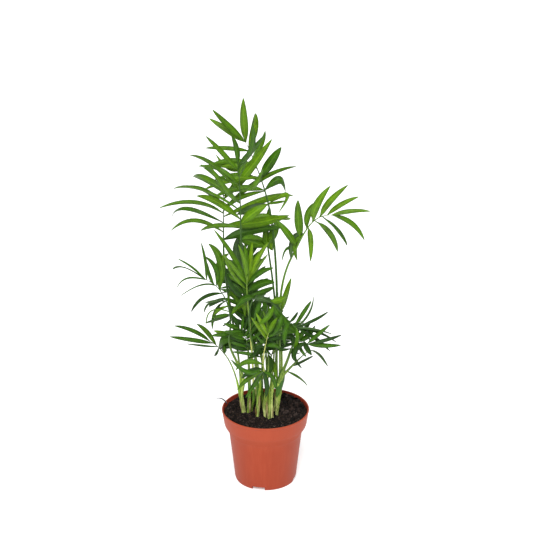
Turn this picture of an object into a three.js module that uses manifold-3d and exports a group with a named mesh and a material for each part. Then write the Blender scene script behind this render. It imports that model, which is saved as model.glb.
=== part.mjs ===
// Parlour palm in a nursery pot: pot, peat, stems, petioles and fronds as separate closed solids.
// Millimetres, +Z up, origin under the middle of the pot on its flat underside, +Y to the plant's back.

import * as THREE from 'three';
import { mergeVertices } from 'three/addons/utils/BufferGeometryUtils.js';
import Module from 'manifold-3d';

const wasm = await Module();
wasm.setup();

// ---- driving sizes -------------------------------------------------------

const POT_HEIGHT = 106;
const RIM_RADIUS = 60;         // 12 cm pot
const COLLAR_FOOT = 84;        // height of the collar's lower edge
const COLLAR_FOOT_RADIUS = 56.6;
const BODY_TOP = 73.5;         // below the chamfer
const BODY_TOP_RADIUS = 50.3;
const BODY_FOOT_RADIUS = 42.7;
const POT_WALL = 1.2;
const FLOOR_UNDERSIDE = 5.0;   // the floor is held up by the foot ring and the boss
const FLOOR_THICK = 1.7;
const FOOT_RING_INNER = 39.4;
const BOSS_RADIUS = 9;
const NOTCH = { wide: 18, high: 5.0, deep: 9, first: -103.5, count: 4 };
const DRAIN = { radius: 3.4, out: 27, count: 4, first: -58 };
const POT_SIDES = 40;

const SOIL_TOP = 96.6;         // level ground round the stems
const SOIL_LUMP = 1.4;         // unevenness toward the rim
const SOIL_HEAP = 4.2;         // rise from the stems to the wall, half of it in front
const GAP = 0.35;              // clearance kept between neighbouring pieces

const STEM_SIDES = 6, STEM_STEPS = 4;
const LIMB_SIDES = 5, PETIOLE_STEPS = 7;
const RIB_STEPS = 8;
const PETIOLE_RADIUS = [1.45, 0.95];   // at the sheath, at the blade
const RIB_RADIUS = [0.95, 0.5];        // at the blade's foot, at its tip
const BAY = 2.2, BAY_GAP = 0.9;         // length of rib that a leaflet grows from, and the space to the next
const BLADE_THICK = 1;
const WIDEST = 0.42;                   // where a leaflet is widest, as a share of its length
const RIB_CLEAR = 0.9;          // a blade's forward edge keeps this far off its own rib
const MAX_WIDE = 13;
const TRY_LIFT = [0, 4, -4, 8, -8, 13, -13, 18, -18, 24, -24, 31, -31, 38];
const TRY_REACH = [1, 0.85, 0.7, 0.55];
const TRY_SLIM = [1, 0.7];

// Stems: foot on the peat [x, y], radius there, and radius of the sheathed top.
// A stem leans to the middle of the petioles that leave it.
const STEMS = {
  left:        { foot: [-30, 6],      radius: 2.6, top: 3.6 },
  left_rear:   { foot: [-24.3, 5.2],  radius: 1.9, top: 2.4 },
  mid_left:    { foot: [-19.7, 11.2], radius: 2.0, top: 2.2 },
  main:        { foot: [-11.5, -4.5], radius: 2.8, top: 3.2 },
  centre_rear: { foot: [-2.4, 13.2],  radius: 2.2, top: 2.3 },
  front:       { foot: [-0.6, -7.2],  radius: 2.0, top: 2.6 },
  front_right: { foot: [4.2, -9.6],   radius: 1.9, top: 2.0 },
  mid_right:   { foot: [9.2, -12.6],  radius: 1.9, top: 1.9 },
  right:       { foot: [15.2, -0.4],  radius: 2.2, top: 4.6 },
  right_rear:  { foot: [12.6, 10.8],  radius: 2.2, top: 2.8 },
  rear:        { foot: [3.2, 20.5],   radius: 2.3, top: 3.4 },
  rear_left:   { foot: [-9.5, 21.5],  radius: 2.3, top: 3.2 },
};

// Fronds. petiole and rib are lengths; course is the heading [azimuth, elevation]
// at the petiole's foot, its middle, the blade's foot, the rib's middle and its tip;
// face is the way the upper side looks. A leaflet is [place along the rib 0..1,
// spread from the rib (+ left, - right), lift out of the blade, length, width].
// A frond without a leaflet list has that many even pairs instead.
const FRONDS = {
  top: { stem: 'right', foot: [15.1, -2.9, 126], petiole: 245.7, rib: 113.7,
    course: [[94, 87.9], [75.2, 77.3], [126.5, 77], [130.6, 56.3], [124, 43.7]], face: [0, -0.92, 0.39],
    leaflets: [
      [0.08, -93, 3, 34, 11.5], [0.08, 118, -42, 34, 5], [0.21, -91, -8, 41, 10.5], [0.21, 151, -33, 18, 8], 
      [0.37, -98, -13, 71, 7], [0.38, -81, 8, 68, 9], [0.38, 122, -30, 32, 9.5], [0.49, -68, -8, 67, 7.5], 
      [0.54, 60, 33, 54, 12.5], [0.54, -86, 13, 81, 8.5], [0.65, -70, 7, 72, 7.5], [0.7, -60, -13, 72, 7.5], 
      [0.79, 52, 15, 42, 7], [0.79, -59, -9, 51, 5], [0.88, -61, -3, 63, 6.5], [0.92, 42, 36, 52, 11.5], 
      [1, -26, 40, 66, 9], [1, 28, 49, 67, 11.5], [1, -34, 17, 60, 8],] },
  upper_left: { stem: 'main', foot: [-10.7, 2.4, 127], petiole: 219.5, rib: 139.6,
    course: [[158.7, 88.9], [175.2, 78.1], [-105.9, 79.5], [-75, 75.9], [-105, 67]], face: [0, -0.92, 0.39],
    leaflets: [
      [0.08, -86, 24, 28, 6], [0.12, 86, 11, 29, 10], [0.25, -76, -3, 67, 5.5], [0.29, 52, -3, 45, 14], 
      [0.33, -60, -10, 69, 11], [0.42, -72, -14, 91, 6], [0.5, -48, 12, 89, 12], [0.52, -29, 8, 80, 7.5], 
      [0.62, -52, -12, 84, 8.5], [0.67, 40, -5, 43, 9], [0.71, -67, -14, 60, 6], [0.74, -51, 6, 58, 6.5], 
      [0.83, 20, -17, 37, 9], [0.85, -31, 5, 74, 6.5], [0.88, -49, -29, 64, 8.5], [0.92, 31, 6, 70, 8.5], 
      [0.97, 14, 7, 80, 7.5], [1, -16, -25, 37, 6.5],] },
  left_high: { stem: 'left', foot: [-34, 8.6, 130], petiole: 189.8, rib: 90.8,
    course: [[-84.5, 83], [152.6, 72.2], [127.4, 83.8], [84.3, 47.7], [97.9, 73.5]], face: [0, -0.92, 0.39],
    leaflets: [
      [0.17, 75, 10, 52, 13.5], [0.29, -94, -32, 28, 3], [0.33, 81, 3, 74, 12.5], [0.46, -92, 22, 80, 3.5], 
      [0.54, -81, -9, 83, 3.5], [0.54, 83, 28, 100, 18], [0.58, -70, 3, 59, 4], [0.67, 73, 36, 120, 9.5], 
      [0.71, -85, 14, 81, 4.5], [0.79, 60, 11, 113, 7], [0.82, -62, -2, 59, 7], [0.92, 33, 8, 106, 12], 
      [0.96, -33, 1, 51, 7], [0.97, 36, 1, 80, 7.5], [1, -36, -16, 38, 7.5],] },
  right_high: { stem: 'right_rear', foot: [16.2, 1.6, 127], petiole: 218.5, rib: 100.6,
    course: [[-45.7, 78.4], [158.8, 72.7], [-30.4, 62.7], [-57, 68.8], [-40.9, 12.3]], face: [-0.45, -0.6, 0.65],
    leaflets: [
      [0.04, 176, 49, 19, 4.5], [0.12, -55, 35, 53, 15.5], [0.17, 118, 48, 20, 12], [0.25, -49, -2, 54, 19], 
      [0.38, 114, 25, 38, 8.5], [0.46, -29, -10, 44, 15.5], [0.5, 141, -16, 50, 11.5], 
      [0.62, -32, -8, 57, 17.5], [0.67, 109, -52, 52, 10.5], [0.68, 86, 11, 39, 7.5], 
      [0.79, -26, -3, 63, 12], [0.83, 94, -62, 55, 7.5], [0.87, 57, 0, 65, 7], [0.92, -49, -34, 56, 9.5], 
      [1, 32, -37, 54, 7.5], [1, -40, -53, 61, 7],] },
  left_mid: { stem: 'left', foot: [-29.4, 0.6, 130], petiole: 94.2, rib: 113.8,
    course: [[-11.6, 76.6], [-181.5, 30.4], [-43.9, 78.2], [-139.5, 70], [-138.7, 31.8]], face: [0.2, -0.81, 0.55],
    leaflets: [
      [0, -102, -4, 23, 2.5], [0.04, -72, 16, 25, 11.5], [0.25, 101, 11, 21, 7], [0.29, -77, -22, 30, 2.5], 
      [0.29, -101, -9, 35, 6], [0.38, 93, 20, 20, 8], [0.42, -116, -4, 31, 6.5], [0.5, -102, 25, 42, 9], 
      [0.52, 68, 5, 64, 7.5], [0.54, -92, -19, 24, 7.5], [0.57, 20, -6, 76, 7.5], [0.62, 19, -8, 78, 11.5], 
      [0.67, -102, -32, 50, 5], [0.72, 44, 4, 70, 7.5], [0.79, 43, -27, 44, 4.5], [0.83, 52, -18, 30, 5.5], 
      [0.83, -85, -57, 52, 3], [0.96, 8, -49, 53, 2], [0.96, -30, -29, 42, 2], [0.96, 49, 8, 54, 6.5], 
      [1, 24, -27, 44, 2],] },
  left_low: { stem: 'left', foot: [-39, 2.7, 130], petiole: 56.9, rib: 35.9,
    course: [[129.7, 76.1], [-97.6, 79.6], [138.3, 34], [122.6, 6], [127.8, -3.6]], face: [0.1, -0.75, 0.65],
    leaflets: [
      [0.04, 109, 3, 35, 11], [0.17, 176, 26, 14, 4], [0.29, 101, 15, 36, 12], [0.31, 86, 3, 46, 7.5], 
      [0.38, -128, 8, 16, 4], [0.46, -50, 19, 44, 2.5], [0.58, -2, 32, 40, 7], [0.68, -22, -7, 56, 6], 
      [0.92, -20, 27, 61, 6], [1, -59, 42, 58, 10.5],] },
  right_arch: { stem: 'main', foot: [-8.5, -7.1, 127], petiole: 145.9, rib: 91.1,
    course: [[-50.9, 74.4], [169.4, 55.3], [-53.8, 72.4], [3.4, -69.2], [-31.4, -26.7]], face: [0.2, -0.76, 0.61],
    leaflets: [
      [0.17, -180, 24, 34, 12], [0.33, 105, -30, 36, 13], [0.46, -62, -18, 28, 9], [0.54, 84, -4, 32, 12.5], 
      [0.71, 64, -26, 32, 13], [0.75, -52, 2, 7, 4], [0.88, 59, -20, 30, 11.5], [0.88, -95, -6, 20, 3.5], 
      [0.96, -95, 8, 40, 5.5], [1, 26, -37, 30, 11], [1, -48, 15, 17, 7], [1, -55, 32, 47, 4], 
      [1, -99, 19, 46, 2.5],] },
  right_low: { stem: 'right', foot: [14.4, -10.9, 126], petiole: 81.3, rib: 57.1,
    course: [[-98.5, 82.9], [-11.1, 59.8], [-69.7, 63], [-37.3, 57.6], [-60.4, -13.3]], face: [-0.2, -0.76, 0.61],
    leaflets: [
      [0.12, 67, -15, 15, 3.5], [0.17, -72, -1, 21, 9.5], [0.22, -87, 3, 31, 7.5], [0.29, 114, 1, 32, 9.5], 
      [0.5, -42, -53, 35, 6], [0.56, -26, -12, 50, 6.5], [0.58, 73, -15, 24, 3.5], [0.67, -38, -79, 55, 5.5], 
      [0.71, -24, -32, 44, 5.5], [0.83, 58, -59, 23, 6.5], [0.92, 72, -8, 29, 7.5], [0.96, -71, 8, 43, 7], 
      [1, -25, -10, 34, 8.5], [1, -56, -32, 44, 9.5], [1, -61, -9, 49, 6],] },
  right_fore: { stem: 'right', foot: [21.4, -9.5, 126], petiole: 43.7, rib: 74,
    course: [[-27.9, 89.5], [-159.2, 78.3], [-47.4, 49.6], [-42.1, 50.9], [-58.6, 39.9]], face: [-0.3, -0.6, 0.75],
    leaflets: [
      [0.12, 113, -61, 40, 4], [0.29, -23, -45, 32, 2], [0.46, -66, 8, 26, 7.5], [0.75, -42, 32, 13, 4.5], 
      [1, 110, -73, 33, 4],] },
  spear: { stem: 'mid_left', foot: [-16.3, 3.1, 118], petiole: 158.2, rib: 50.7,
    course: [[79.1, 87.8], [-108.9, 75.5], [-123.8, 83.3], [-86.8, 33.1], [-86.3, 67.4]], face: [0, -0.92, 0.39],
    leaflets: [
      [0, -27, -8, 52, 7.5], [0.08, -18, -12, 53, 7.5], [0.08, 69, -7, 40, 10.5], [0.17, 77, -16, 43, 15.5], 
      [0.25, -29, -16, 43, 9.5], [0.38, -24, -10, 62, 10.5], [0.38, 48, -11, 54, 13], 
      [0.54, 48, -45, 51, 6.5], [0.61, -20, 2, 80, 7], [0.67, 30, -41, 62, 12], [0.67, -35, -26, 89, 6], 
      [0.71, -13, -11, 70, 12], [0.75, 8, -47, 53, 9.5], [1, -6, -38, 40, 8],] },
  mid_back: { stem: 'mid_right', foot: [8.7, -2.6, 129], petiole: 201, rib: 43.2,
    course: [[58.7, 70.7], [159.4, 84.8], [131.6, 76.7], [87.6, 22], [90.8, 46.2]], face: [0.12, -0.9, 0.42],
    leaflets: [
      [0.08, 100, 38, 9, 5.5], [0.12, -1, 9, 30, 9], [0.24, -65, -9, 35, 7.5], [0.25, 24, 21, 28, 10.5], 
      [0.29, -70, 4, 33, 7], [0.33, -85, 47, 25, 7.5], [0.5, 141, -26, 18, 8], [0.71, -108, 15, 14, 9], 
      [0.79, 135, -15, 14, 9.5], [1, 10, 49, 25, 8],] },
  front_low: { stem: 'front', foot: [-4.3, -2.5, 114.5], petiole: 73.8, rib: 60.4,
    course: [[-55.5, 71.8], [-32.9, 79], [-87.5, 81.3], [-102.3, 4.8], [-98.4, -76.2]], face: [0, 0.04, 1],
    leaflets: [
      [0.54, -76, -46, 26, 9], [0.58, 66, 5, 42, 11], [0.63, 56, 9, 46, 7.5], [0.67, 73, -24, 48, 8.5], 
      [0.79, 54, -22, 42, 8], [0.83, -47, -1, 37, 7.5], [0.88, -39, -9, 31, 7], [0.96, 49, -9, 48, 7.5], 
      [1, -16, 4, 30, 10.5], [1, 30, 9, 52, 8],] },
  front_young: { stem: 'front', foot: [2.6, -8, 114.5], petiole: 89.4, rib: 45.7,
    course: [[-82.5, 68.1], [158.6, 69.7], [-69.6, 68.5], [-75.6, 62.8], [-70.3, 58.3]], face: [0, -0.92, 0.39],
    leaflets: [
      [0.42, -38, 5, 28, 4], [0.55, -46, -1, 44, 7.5], [0.62, -36, -14, 39, 10.5], [0.62, -52, -12, 48, 7.5], 
      [0.75, 74, -20, 22, 5.5], [0.92, -25, -11, 36, 10.5], [0.96, -29, -32, 32, 7], 
      [0.96, 80, -25, 28, 5.5], [1, 0, -11, 33, 10.5],] },
  right_spear: { stem: 'right_rear', foot: [21.2, 7.3, 127], petiole: 110.4, rib: 20.9,
    course: [[53.8, 82.9], [3, 93.8], [111.8, 88.5], [74.2, 76.1], [64.5, 73.1]], face: [0, -0.92, 0.39],
    leaflets: [
      [0.05, -33, -10, 35, 6], [0.42, -12, 0, 28, 4.5], [0.67, 12, -4, 43, 8.5], [0.92, -4, 1, 27, 4],] },
  centre_young: { stem: 'front_right', foot: [5.7, -6.7, 125], petiole: 61.1, rib: 56.8,
    course: [[168, 88.1], [183.1, 71.9], [151.2, 75.4], [134.3, 67.3], [138, 68.3]], face: [0, -0.92, 0.39],
    pairs: 5, reach: 50, spread: [66.69, 23.7], lift: -9.53, droop: 0.05, wide: 6.23, dice: 188 },
  centre_left: { stem: 'left_rear', foot: [-20.9, 5.3, 124], petiole: 67.7, rib: 42.9,
    course: [[238.4, 89.1], [248.3, 86.4], [229.7, 82.5], [212.8, 81], [221.5, 44.9]], face: [0, -0.85, 0.5],
    pairs: 7, reach: 35, spread: [72.38, 40.31], lift: -10.65, droop: 0.13, wide: 6.83, dice: 384 },
  centre_dark: { stem: 'centre_rear', foot: [-4.8, 15.7, 122], petiole: 62.9, rib: 40,
    course: [[86.4, 88.7], [93.2, 95.4], [85.1, 91.6], [71.4, 57.3], [96.7, 64.3]], face: [0, -0.85, 0.5],
    pairs: 7, reach: 49.53, spread: [77.03, 33.64], lift: 4.17, droop: 0.11, wide: 7.23, dice: 466 },
  mid_left: { stem: 'left_rear', foot: [-22.8, 13.5, 124], petiole: 133, rib: 71.7,
    course: [[94.5, 82], [106, 85.9], [93.2, 74.6], [105.9, 70.2], [85.2, 48.2]], face: [0, -0.85, 0.5],
    pairs: 6, reach: 41.14, spread: [55.92, 27.4], lift: -14, droop: 0.08, wide: 7.17, dice: 493 },
  mid_centre: { stem: 'rear', foot: [0.2, 17.1, 123], petiole: 136, rib: 50,
    course: [[135.8, 84.6], [138.2, 72.2], [118, 63.5], [115, 47], [105.8, 13.8]], face: [0, -0.75, 0.65],
    pairs: 6, reach: 40.79, spread: [70.07, 34.71], lift: 17.73, droop: 0.11, wide: 6.74, dice: 29 },
  back: { stem: 'rear', foot: [2.3, 24.6, 123], petiole: 106.6, rib: 83,
    course: [[97, 82.5], [105.9, 87.1], [107, 47.1], [144.1, 18.4], [111.1, 4]], face: [0, 0.3, 0.95],
    pairs: 7, reach: 45, spread: [77.58, 24.7], lift: -14, droop: 0.12, wide: 6.92, dice: 285 },
  back_left: { stem: 'rear_left', foot: [-13.2, 17.7, 121], petiole: 106.4, rib: 92.6,
    course: [[98.4, 89.1], [92.3, 92.7], [122.6, 60.4], [101, 17.2], [96, -27.4]], face: [-0.2, 0.3, 0.95],
    pairs: 7, reach: 40.85, spread: [56.48, 26.84], lift: 9.42, droop: 0.08, wide: 5.99, dice: 476 },
  back_right: { stem: 'rear', foot: [9, 18.6, 123], petiole: 76.6, rib: 60,
    course: [[62.9, 80], [93.7, 44.2], [67.3, 57.7], [55.2, -33.8], [-10.4, -31.1]], face: [0.2, 0.3, 0.95],
    pairs: 8, reach: 42.21, spread: [73.26, 34.02], lift: -14, droop: 0.07, wide: 5.89, dice: 121 },
  back_low: { stem: 'rear_left', foot: [-7.5, 25.7, 121], petiole: 49, rib: 81.6,
    course: [[72.1, 69.4], [51, 30.2], [74.9, 32.6], [70.9, 15.9], [39.6, -42.2]], face: [0, 0.3, 0.95],
    pairs: 8, reach: 46.87, spread: [71.85, 25.53], lift: 18.25, droop: 0.12, wide: 5.83, dice: 17 },
};

// ---- small helpers -------------------------------------------------------

const RAD = Math.PI / 180;
const V = (x, y, z) => new THREE.Vector3(x, y, z);
const heading = ([az, el]) => V(Math.cos(el * RAD) * Math.cos(az * RAD), Math.cos(el * RAD) * Math.sin(az * RAD), Math.sin(el * RAD));
const lerp = (a, b, t) => a + (b - a) * t;
const chance = (i, k) => { const v = Math.sin(i * 12.9898 + k * 78.233) * 43758.5453; return v - Math.floor(v); };

// A path of a given length whose heading swings from d0 through dm to d1.
function sweepPath(start, d0, dm, d1, length, steps) {
  const fine = steps * 6, path = [start.clone()];
  const at = start.clone();
  for (let i = 0; i < fine; i++) {
    const s = (i + 0.5) / fine;
    const d = V(0, 0, 0).addScaledVector(d0, (1 - s) ** 2).addScaledVector(dm, 2 * s * (1 - s)).addScaledVector(d1, s * s).normalize();
    at.addScaledVector(d, length / fine);
    if ((i + 1) % 6 === 0) path.push(at.clone());
  }
  return path;
}

// Closed geometry from rings of points that all have the same count; a ring of one point closes to a tip.
function skin(rings) {
  const pos = [], idx = [], first = [];
  for (const ring of rings) { first.push(pos.length / 3); for (const p of ring) pos.push(p.x, p.y, p.z); }
  for (let i = 0; i + 1 < rings.length; i++) {
    const a = rings[i], b = rings[i + 1], n = Math.max(a.length, b.length);
    for (let j = 0; j < n; j++) {
      const a0 = first[i] + (j % a.length), a1 = first[i] + ((j + 1) % a.length);
      const b0 = first[i + 1] + (j % b.length), b1 = first[i + 1] + ((j + 1) % b.length);
      if (a.length > 1) idx.push(a0, a1, b.length > 1 ? b1 : b0);
      if (b.length > 1) idx.push(a0, b1, b0);
    }
  }
  const cap = (k, flip) => {
    const n = rings[k].length;
    for (let j = 1; j + 1 < n; j++) idx.push(first[k], ...(flip ? [first[k] + j + 1, first[k] + j] : [first[k] + j, first[k] + j + 1]));
  };
  cap(0, true); cap(rings.length - 1, false);
  const g = new THREE.BufferGeometry();
  g.setAttribute('position', new THREE.Float32BufferAttribute(pos, 3));
  g.setIndex(idx);
  return g;
}

// A limb of round section whose radius follows radii along the path.
function limb(path, radii, sides, grow = 0) {
  const n = path.length, rings = [];
  let side = Math.abs(path[1].clone().sub(path[0]).normalize().x) < 0.8 ? V(1, 0, 0) : V(0, 1, 0);
  for (let i = 0; i < n; i++) {
    const t = path[Math.min(i + 1, n - 1)].clone().sub(path[Math.max(i - 1, 0)]).normalize();
    side = side.clone().addScaledVector(t, -side.dot(t)).normalize();
    const up = t.clone().cross(side);
    const ring = [];
    for (let j = 0; j < sides; j++) {
      const a = (j / sides) * 2 * Math.PI;
      ring.push(path[i].clone().addScaledVector(side, Math.cos(a) * (radii[i] + grow)).addScaledVector(up, Math.sin(a) * (radii[i] + grow)));
    }
    rings.push(ring);
  }
  return skin(rings);
}

function solid(geometry) {
  let g = geometry.clone();
  g.deleteAttribute('normal'); g.deleteAttribute('uv');
  g = mergeVertices(g, 1e-4);
  if (!g.index) g.setIndex([...g.attributes.position.array.keys()].filter((i) => i % 3 === 0).map((i) => i / 3));
  const m = new wasm.Manifold(new wasm.Mesh({
    numProp: 3, vertProperties: new Float32Array(g.attributes.position.array), triVerts: new Uint32Array(g.index.array),
  }));
  return m.volume() < 0 ? flipped(g) : m;
}

function flipped(g) {
  const t = Uint32Array.from(g.index.array);
  for (let i = 0; i < t.length; i += 3) { const k = t[i]; t[i] = t[i + 1]; t[i + 1] = k; }
  return new wasm.Manifold(new wasm.Mesh({ numProp: 3, vertProperties: new Float32Array(g.attributes.position.array), triVerts: t }));
}

function geometryOf(m) {
  const mesh = m.getMesh(), g = new THREE.BufferGeometry(), n = mesh.vertProperties.length / mesh.numProp;
  const pos = new Float32Array(n * 3);
  for (let i = 0; i < n; i++) for (let k = 0; k < 3; k++) pos[i * 3 + k] = mesh.vertProperties[i * mesh.numProp + k];
  g.setAttribute('position', new THREE.BufferAttribute(pos, 3));
  g.setIndex(new THREE.BufferAttribute(Uint32Array.from(mesh.triVerts), 1));
  return g;
}

const largest = (m) => m.decompose().reduce((a, b) => (b.volume() > a.volume() ? b : a));
const touches = (a, b) => {
  const p = a.box, q = b.box;
  for (let k = 0; k < 3; k++) if (p.max[k] < q.min[k] || q.max[k] < p.min[k]) return false;
  const both = a.m.intersect(b.m);
  return !both.isEmpty() && both.volume() > 1e-7;
};
const boxed = (m) => ({ m, box: m.boundingBox() });

// ---- pot and peat --------------------------------------------------------

function potRadiusAt(z) {
  const steps = [[0, 41.8], [3, BODY_FOOT_RADIUS], [BODY_TOP, BODY_TOP_RADIUS], [COLLAR_FOOT, COLLAR_FOOT_RADIUS], [POT_HEIGHT, RIM_RADIUS]];
  for (let i = 0; i + 1 < steps.length; i++) {
    const [z0, r0] = steps[i], [z1, r1] = steps[i + 1];
    if (z <= z1) return lerp(r0, r1, (z - z0) / (z1 - z0));
  }
  return RIM_RADIUS;
}

function lathe(profile) {
  const g = new THREE.LatheGeometry(profile.map(([r, z]) => new THREE.Vector2(r, z)), POT_SIDES);
  g.rotateX(Math.PI / 2);
  return g;
}

function potSolid() {
  const floorTop = FLOOR_UNDERSIDE + FLOOR_THICK;
  const profile = [
    [0, 0], [BOSS_RADIUS, 0], [BOSS_RADIUS + 0.6, FLOOR_UNDERSIDE], [FOOT_RING_INNER + 0.4, FLOOR_UNDERSIDE], [FOOT_RING_INNER, 0],
    [potRadiusAt(0), 0], [potRadiusAt(3), 3], [BODY_TOP_RADIUS, BODY_TOP], [COLLAR_FOOT_RADIUS, COLLAR_FOOT],
    [RIM_RADIUS - 0.5, POT_HEIGHT - 2.8], [RIM_RADIUS, POT_HEIGHT - 2.2], [RIM_RADIUS - 0.3, POT_HEIGHT], [RIM_RADIUS - POT_WALL - 0.6, POT_HEIGHT],
    [COLLAR_FOOT_RADIUS - POT_WALL, COLLAR_FOOT + 0.3], [BODY_TOP_RADIUS - POT_WALL, BODY_TOP + 0.4],
    [potRadiusAt(floorTop + 2) - POT_WALL, floorTop + 1.5], [potRadiusAt(floorTop) - POT_WALL - 1.5, floorTop], [0, floorTop],
  ];
  let pot = solid(lathe(profile));
  for (let i = 0; i < NOTCH.count; i++) {
    const a = (NOTCH.first + (i * 360) / NOTCH.count) * RAD;
    const cut = new THREE.BoxGeometry(NOTCH.deep, NOTCH.wide, NOTCH.high * 2);
    cut.translate(BODY_FOOT_RADIUS + 1.2 - NOTCH.deep / 2 + 1, 0, -0.05);
    cut.rotateZ(a);
    pot = pot.subtract(solid(cut));
  }
  for (let i = 0; i < DRAIN.count; i++) {
    const a = (DRAIN.first + (i * 360) / DRAIN.count) * RAD;
    const cut = new THREE.CylinderGeometry(DRAIN.radius, DRAIN.radius, 12, 12);
    cut.rotateX(Math.PI / 2);
    cut.translate(DRAIN.out * Math.cos(a), DRAIN.out * Math.sin(a), FLOOR_UNDERSIDE);
    pot = pot.subtract(solid(cut));
  }
  return pot;
}

function soilSolid() {
  const floorTop = FLOOR_UNDERSIDE + FLOOR_THICK;
  const inner = (z) => potRadiusAt(z) - POT_WALL - GAP - 0.25;
  const n = POT_SIDES, rings = [[V(0, 0, floorTop + GAP)]];
  const ring = (r, z) => Array.from({ length: n }, (_, j) => {
    const a = (j / n) * 2 * Math.PI;
    return V(Math.sin(a) * r, Math.cos(a) * r, typeof z === 'function' ? z(a, r) : z);
  });
  const heap = (a, r) => SOIL_HEAP * Math.min(1, Math.max(0, (r - 36) / 18)) * (0.75 + 0.25 * Math.cos(a));
  const lump = (a, r) => SOIL_TOP + heap(a, r) + SOIL_LUMP * Math.max(0, (r - 36) / 20) * (0.55 * Math.sin(3 * a + 0.6) + 0.45 * Math.sin(7 * a + 2.1) * Math.cos(2 * a));
  rings.push(ring(inner(floorTop) - 2.2, floorTop + GAP));
  rings.push(ring(inner(floorTop + 2) - 0.2, floorTop + 2));
  rings.push(ring(inner(BODY_TOP) , BODY_TOP - 0.2));
  rings.push(ring(inner(COLLAR_FOOT) , COLLAR_FOOT + 0.1));
  rings.push(ring(inner(94.5), (a, r) => lump(a, r) - 0.9));
  rings.push(ring(54, lump));
  rings.push(ring(45, lump));
  rings.push(ring(36, () => SOIL_TOP));
  rings.push([V(0, 0, SOIL_TOP)]);
  return solid(skin(rings));
}

// ---- fronds --------------------------------------------------------------

function evenPairs(f) {
  const rows = [];
  for (const side of [1, -1]) {
    for (let i = 0; i < f.pairs; i++) {
      const k = i * 2 + (side > 0 ? 1 : 0);
      const t = 0.05 + (0.9 * (i + 0.35 * (chance(k, f.dice) - 0.5) + (side > 0 ? 0.25 : 0))) / f.pairs;
      const spread = side * (lerp(f.spread[0], f.spread[1], t) + 9 * (chance(k, f.dice + 1) - 0.5));
      const reach = f.reach * (1 - 0.378 * Math.abs(t - 0.38) ** 1.4 / 0.5 ** 1.4) * (0.92 + 0.16 * chance(k, f.dice + 2));
      rows.push([t, spread, f.lift + 12 * (chance(k, f.dice + 3) - 0.5), reach, f.wide * (0.85 + 0.25 * chance(k, f.dice + 4))]);
    }
    rows.push([1, side * (13 + 4 * chance(9, f.dice)), f.lift * 0.6, f.reach * 0.78, f.wide * 1.25]);
  }
  return rows;
}

function frondPaths(f) {
  const d = f.course.map(heading);
  const petiole = sweepPath(V(...f.foot), d[0], d[1], d[2], f.petiole, PETIOLE_STEPS);
  const rib = sweepPath(petiole[PETIOLE_STEPS], d[2], d[3], d[4], f.rib, RIB_STEPS);
  return { petiole, rib };
}

function ribFrame(rib, t, face) {
  const x = Math.min(Math.max(t, 0), 1) * (rib.length - 1), i = Math.min(Math.floor(x), rib.length - 2);
  const point = rib[i].clone().lerp(rib[i + 1], x - i);
  const along = (k) => rib[Math.min(k + 1, rib.length - 1)].clone().sub(rib[Math.max(k - 1, 0)]).normalize();
  const T = along(i).lerp(along(i + 1), x - i).normalize();
  const N = V(...face).addScaledVector(T, -V(...face).dot(T)).normalize();
  return { point, T, N, S: T.clone().cross(N) };
}

// The rib is cut into bays; a bay carries a leaflet on one side or on both.
function baysOf(rows, ribLength) {
  const bays = [];
  for (const row of [...rows].sort((p, q) => p[0] - q[0])) {
    const side = row[1] > 0 ? 'plus' : 'minus';
    const last = bays[bays.length - 1];
    if (last && !last[side] && row[0] - last.t < 0.045) last[side] = row;
    else bays.push({ t: row[0], [side]: row });
  }
  const wide = Math.min(BAY, (ribLength * 0.8) / bays.length - BAY_GAP), step = wide + BAY_GAP;
  for (const b of bays) b.at = Math.max(b.t * ribLength - wide / 2, 0.6);
  for (let i = 1; i < bays.length; i++) bays[i].at = Math.max(bays[i].at, bays[i - 1].at + step);
  bays[bays.length - 1].at = Math.min(bays[bays.length - 1].at, ribLength - wide - 0.3);
  for (let i = bays.length - 2; i >= 0; i--) bays[i].at = Math.min(bays[i].at, bays[i + 1].at - step);
  for (const b of bays) b.wide = wide;
  return bays;
}

// Corners of the rib's section at a distance along it: upper and lower on the plus side, lower and upper on the minus side.
function ribSection(rib, at, ribLength, face, grow = 0) {
  const fr = ribFrame(rib, at / ribLength, face);
  const half = lerp(...RIB_RADIUS, at / ribLength) + grow, thick = half * 0.8 + grow * 0.2;
  const corner = (s, n) => fr.point.clone().addScaledVector(fr.S, s * half).addScaledVector(fr.N, n * thick);
  return [corner(1, 1), corner(1, -1), corner(-1, -1), corner(-1, 1)];
}

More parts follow.
